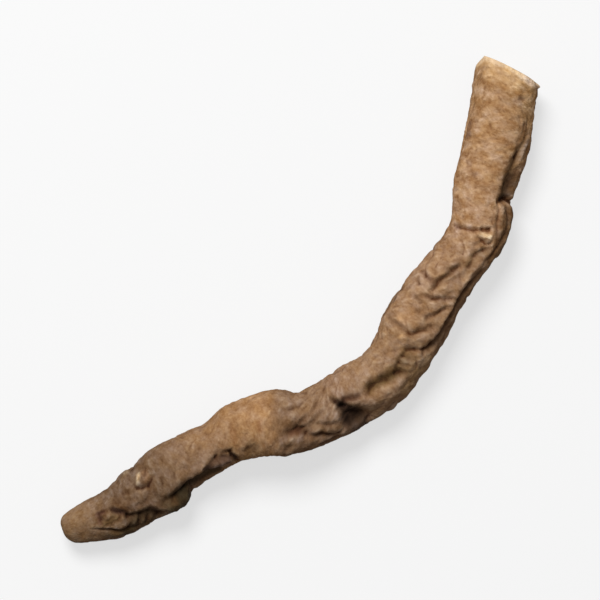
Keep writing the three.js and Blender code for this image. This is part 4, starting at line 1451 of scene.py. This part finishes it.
class NodeKit:
    """Adds and joins the nodes of one material."""

    def __init__(self, name: str) -> None:
        """Start a material.

        Args:
            name: The material's name.
        """
        self.material = bpy.data.materials.new(name)
        self.material.use_nodes = True
        self.tree = self.material.node_tree
        self.shader = self.tree.nodes["Principled BSDF"]

    def add(self, kind: str, **settings: object) -> bpy.types.Node:
        """Add a node.

        Args:
            kind: The node's kind.
            settings: Its settings, by name.

        Returns:
            The new node.
        """
        node = self.tree.nodes.new(kind)
        for name, value in settings.items():
            setattr(node, name, value)
        return node

    def feed(self, socket: Socket, value: Value) -> None:
        """Join a socket to another, or set its value.

        Args:
            socket: The socket that is fed.
            value: The other socket, or the value.
        """
        if isinstance(value, Socket):
            self.tree.links.new(value, socket)
        else:
            socket.default_value = value

    def attribute(self, name: str, output: str = "Fac") -> Socket:
        """Return an attribute of the piece."""
        return self.add("ShaderNodeAttribute", attribute_name=name).outputs[output]

    def math(self, operation: str, *values: Value, clamp: bool = False) -> Socket:
        """Work out a sum on numbers.

        Args:
            operation: What is done with them.
            values: The numbers.
            clamp: Whether the result is held from 0 to 1.

        Returns:
            The result.
        """
        node = self.add("ShaderNodeMath", operation=operation, use_clamp=clamp)
        for socket, value in zip(node.inputs, values):
            self.feed(socket, value)
        return node.outputs[0]

    def product(self, first: Value, second: Value) -> Socket:
        """Return two numbers multiplied."""
        return self.math("MULTIPLY", first, second)

    def spread(self, value: Value, span: Span) -> Socket:
        """Move a value from one range to another.

        Args:
            value: The value.
            span: The two ranges.

        Returns:
            The moved value.
        """
        node = self.add("ShaderNodeMapRange")
        for socket, setting in zip(node.inputs, (value, *span)):
            self.feed(socket, setting)
        return node.outputs[0]

    def mix(self, share: Value, first: Value, second: Value, blend: str = "MIX") -> Socket:
        """Mix two colours.

        Args:
            share: How much of the mixture is taken.
            first: The colour that is there.
            second: The colour that comes to it.
            blend: How they are mixed.

        Returns:
            The mixed colour.
        """
        node = self.add("ShaderNodeMix", data_type="RGBA", blend_type=blend)
        for number, value in zip(MIX_INPUTS, (share, first, second)):
            self.feed(node.inputs[number], value)
        return node.outputs[MIX_RESULT]

    def times(self, first: Value, second: Value) -> Socket:
        """Return two colours multiplied."""
        return self.mix(1.0, first, second, "MULTIPLY")

    def shade(self, share: Value, tone: Socket, times: Colour) -> Socket:
        """Return a colour moved by a share towards itself times another."""
        return self.mix(share, tone, self.times(tone, opaque(times)))

    def cloud(self, place: Socket, cloud: Cloud) -> Socket:
        """Lay a cloud over the bark.

        Args:
            place: The place that it is read at.
            cloud: Its sizes.

        Returns:
            The noise at the place.
        """
        if cloud.stretch:
            mapping = self.add("ShaderNodeMapping")
            self.feed(mapping.inputs["Vector"], place)
            mapping.inputs["Scale"].default_value = cloud.stretch
            place = mapping.outputs["Vector"]
        node = self.add("ShaderNodeTexNoise")
        self.feed(node.inputs["Vector"], place)
        node.inputs["Scale"].default_value = cloud.scale
        node.inputs["Detail"].default_value = cloud.detail
        node.inputs["Roughness"].default_value = cloud.rough
        return node.outputs["Fac"]


@dataclass(frozen=True)
class CutWood:
    """The wood of the cut face: mottled, streaked outwards, and dull down its hollow."""

    fresh: Colour = (0.88, 0.67, 0.43)
    dull: Colour = (0.66, 0.46, 0.27)
    deep: Colour = (0.2, 0.125, 0.07)
    mottle: Cloud = Cloud(1600, 4, 0.65)
    mottle_span: Span = Span(0.36, 0.64, 0, 1)
    rays: Cloud = Cloud(2.6, 2, stretch=(0.1, 1, 1))
    ray_span: Span = Span(0.4, 0.6, 0, 0.6)
    depth_span: Span = Span(2.1, 4.5, 0, 1)

    def colour(self, kit: NodeKit, place: Socket) -> Socket:
        """Colour the wood.

        Args:
            kit: The material's nodes.
            place: The place on the straight root, in millimetres.

        Returns:
            The wood's colour.
        """
        spots = kit.add("ShaderNodeTexCoord").outputs["Object"]
        mottle = kit.spread(kit.cloud(spots, self.mottle), self.mottle_span)
        rays = kit.spread(kit.cloud(place, self.rays), self.ray_span)
        wood = kit.mix(mottle, opaque(self.dull), opaque(self.fresh))
        wood = kit.mix(rays, wood, opaque(self.dull))
        apart = kit.add("ShaderNodeSeparateXYZ")
        kit.feed(apart.inputs[0], place)
        depth = kit.spread(apart.outputs[0], self.depth_span)
        return kit.mix(kit.product(kit.attribute("hollow"), depth), wood, opaque(self.deep))


@dataclass(frozen=True)
class BarkFinish:
    """The dry matt bark, the shade painted into its creases and hollows, and the pale cut wood.

    dark, pale and speck are what the bark's colour is multiplied by in creases and hollows, on
    ridges and in its specks; dark is painted shade, warm like shade among brown roots. warmth is
    how strongly each channel follows the mottling, so that darker bark is redder. Blotches and
    grain make it paler and darker, hues run from ashen to tawny, and the pits are the finest
    roughness. Each span says how strongly a noise or an attribute tells.
    """

    dark: Colour = (0.27, 0.145, 0.07)
    pale: Colour = (1.8, 2.15, 2.6)
    speck: Colour = (0.46, 0.33, 0.21)
    ashen: Colour = (0.99, 1.0, 1.06)
    tawny: Colour = (1.03, 0.99, 0.88)
    warmth: Colour = (0.8, 1.15, 1.72)
    blotches: Cloud = Cloud(1.0, 3, 0.5, (1.25, 0.8, 0.8))
    grain: Cloud = Cloud(3.2, 3, 0.6, (1.3, 1.0, 1.0))
    hues: Cloud = Cloud(0.8, 3, 0.65, (1.3, 1.0, 1.0))
    specks: Cloud = Cloud(2.1, 3, 0.6, (1.2, 0.9, 0.9))
    pits: Cloud = Cloud(9.0, 2)
    blotch_span: Span = Span(0.32, 0.68, -0.42, 0.4)
    grain_span: Span = Span(0.33, 0.67, 0.86, 1.18)
    hue_span: Span = Span(0.38, 0.62, 0, 1)
    speck_span: Span = Span(0.54, 0.7, 0, 0.45)
    fine_valley: Span = Span(0.1, 3.0, 0, 0.3)
    broad_valley: Span = Span(0.05, 1.6, 0, 0.6)
    fine_ridge: Span = Span(-0.2, -2.0, 0, 0.35)
    ridge_patches: Span = Span(0.4, 0.6, 0.1, 1)
    crease_dark: float = 0.65
    speck_gain: float = 1.4
    pit_share: float = 0.6
    bump_strength: float = 0.8
    bump_distance: float = 0.00008
    roughness: float = 0.92
    specular: float = 0.2
    cut_wood: CutWood = CutWood()

    def mottled(self, kit: NodeKit, place: Socket, blotch: Socket, grain: Socket) -> Socket:
        """Mottle the bark's colour, with its painted shade and light.

        Args:
            kit: The material's nodes.
            place: The place on the straight root, in millimetres.
            blotch: The blotches at the place.
            grain: The grain at the place.

        Returns:
            The mottled colour.
        """
        hue = kit.spread(kit.cloud(place, self.hues), self.hue_span)
        tint = kit.mix(hue, opaque(self.ashen), opaque(self.tawny))
        uneven = kit.product(kit.attribute("mottled"), kit.spread(blotch, self.blotch_span))
        lift = kit.math("ADD", uneven, kit.spread(grain, self.grain_span))
        lifted = kit.add("ShaderNodeCombineXYZ")
        for socket, power in zip(lifted.inputs, self.warmth):
            kit.feed(socket, kit.math("POWER", lift, power))
        return kit.times(kit.times(kit.attribute("tone", "Vector"), tint), lifted.outputs[0])

    def shaded(self, kit: NodeKit, place: Socket, blotch: Socket, tone: Socket) -> Socket:
        """Pale a colour on the bark's ridges, darken it in its specks, and paint shade into its
        creases and hollows.

        Args:
            kit: The material's nodes.
            place: The place on the straight root, in millimetres.
            blotch: The blotches at the place.
            tone: The colour.

        Returns:
            The shaded colour.
        """
        fine, broad = kit.attribute("fine_hollow"), kit.attribute("broad_hollow")
        crease_shade = kit.attribute("crease")
        patches = kit.spread(blotch, self.ridge_patches)
        ridge = kit.product(kit.spread(fine, self.fine_ridge), patches)
        ridge = kit.product(ridge, kit.math("SUBTRACT", 1.0, crease_shade))
        speck = kit.spread(kit.cloud(place, self.specks), self.speck_span)
        speck = kit.product(speck, kit.product(kit.attribute("mottled"), self.speck_gain))
        # Painted shade: the colour darkens in the fine and broad hollows and along the folds'
        # creases.
        hollows = kit.spread(fine, self.fine_valley), kit.spread(broad, self.broad_valley)
        painted_shade = kit.math("ADD", *hollows, clamp=True)
        painted_shade = kit.math("MAXIMUM", painted_shade, kit.product(crease_shade, self.crease_dark))
        for share, times in ((ridge, self.pale), (speck, self.speck), (painted_shade, self.dark)):
            tone = kit.shade(share, tone, times)
        return tone

    def dress(self, root: bpy.types.Object) -> None:
        """Give the root its material.

        Args:
            root: The finished root, with its attributes.
        """
        kit = NodeKit("bark")
        place = kit.attribute("straight", "Vector")
        blotch, grain = kit.cloud(place, self.blotches), kit.cloud(place, self.grain)
        tone = self.shaded(kit, place, blotch, self.mottled(kit, place, blotch, grain))
        tone = kit.mix(kit.attribute("cut"), tone, self.cut_wood.colour(kit, place))
        kit.feed(kit.shader.inputs["Base Color"], tone)
        kit.shader.inputs["Roughness"].default_value = self.roughness
        kit.shader.inputs["Specular IOR Level"].default_value = self.specular
        bump = kit.add("ShaderNodeBump")
        bump.inputs["Strength"].default_value = self.bump_strength
        bump.inputs["Distance"].default_value = self.bump_distance
        pits = kit.product(kit.cloud(place, self.pits), self.pit_share)
        kit.feed(bump.inputs["Height"], kit.math("ADD", grain, pits))
        kit.feed(kit.shader.inputs["Normal"], bump.outputs["Normal"])
        root.data.materials.clear()
        root.data.materials.append(kit.material)


# ---- Studio -------------------------------------------------------------------------------------


@dataclass(frozen=True)
class Studio:
    """The pale floor, the soft light and the camera that looks straight down."""

    frame_width: float = 0.062
    lens: float = 300.0
    sensor: float = 36.0
    seen_from: float = 0.01
    seen_to: float = 10.0
    floor_size: float = 3.0
    floor_seen: Colour = (0.93, 0.93, 0.93)
    floor_lit: Colour = (0.2, 0.14, 0.09)
    floor_roughness: float = 0.9
    shadow_share: float = 0.3
    lamp_place: Axes = (-0.13, 0.33, 0.5)
    lamp_width: float = 0.3
    lamp_power: float = 3.9
    room_light: float = 0.2

    def floor(self) -> None:
        """Lay the floor: pale to the camera with a faint shadow, and dull to the root above it."""
        bpy.ops.mesh.primitive_plane_add(size=self.floor_size, location=(0, 0, 0))
        floor = bpy.context.object
        floor.name = "floor"
        kit = NodeKit("floor")
        rays = kit.add("ShaderNodeLightPath").outputs
        mirrored = kit.math("MAXIMUM", rays["Is Glossy Ray"], rays["Is Transmission Ray"])
        seen = kit.math("MAXIMUM", rays["Is Camera Ray"], mirrored)
        colour = kit.mix(seen, opaque(self.floor_lit), opaque(self.floor_seen))
        kit.feed(kit.shader.inputs["Base Color"], colour)
        kit.shader.inputs["Roughness"].default_value = self.floor_roughness
        glow = kit.add("ShaderNodeEmission")
        kit.feed(glow.inputs["Color"], opaque(self.floor_seen))
        blend = kit.add("ShaderNodeMixShader")
        share = kit.product(seen, 1 - self.shadow_share)
        for socket, value in zip(blend.inputs, (share, kit.shader.outputs[0], glow.outputs[0])):
            kit.feed(socket, value)
        kit.feed(kit.tree.nodes["Material Output"].inputs["Surface"], blend.outputs[0])
        floor.data.materials.append(kit.material)

    def lamps(self) -> None:
        """Hang the key lamp and set the even light of the room."""
        data = bpy.data.lights.new("key", "AREA")
        data.shape = "DISK"
        data.size = self.lamp_width
        data.energy = self.lamp_power
        lamp = bpy.data.objects.new("key", data)
        lamp.location = self.lamp_place
        lamp.rotation_euler = (-lamp.location).to_track_quat("-Z", "Y").to_euler()
        bpy.context.scene.collection.objects.link(lamp)
        world = bpy.data.worlds.new("room")
        world.use_nodes = True
        light = world.node_tree.nodes["Background"].inputs
        light["Color"].default_value = (1, 1, 1, 1)
        light["Strength"].default_value = self.room_light
        bpy.context.scene.world = world

    def camera(self) -> None:
        """Hang the camera over the middle of the root, framed at its widest height."""
        low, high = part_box(NODE)
        data = bpy.data.cameras.new("camera")
        data.lens = self.lens
        data.sensor_width = self.sensor
        data.clip_start = self.seen_from
        data.clip_end = self.seen_to
        camera = bpy.data.objects.new("camera", data)
        middle = 0.5 * (low + high)
        away = self.frame_width * self.lens / self.sensor
        camera.location = (middle.x, middle.y, middle.z + away)
        bpy.context.scene.collection.objects.link(camera)
        bpy.context.scene.camera = camera

    def build(self) -> None:
        """Set up the studio."""
        self.floor()
        self.lamps()
        self.camera()
        bpy.context.scene.view_settings.view_transform = "Standard"


def main() -> None:
    """Build the root, dress it and set up the studio."""
    logging.basicConfig(level=logging.INFO, format="%(name)s: %(message)s")
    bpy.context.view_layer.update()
    root = RootBody().build()
    LOG.info("%s modelled with %d faces", PIECE, len(root.data.polygons))
    Bark().work(root)
    Lay().bend(root)
    Lay().settle(root)
    BarkFinish().dress(root)
    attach(root, "root")
    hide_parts(NODE)
    Studio().build()


if __name__ == "__main__":
    main()
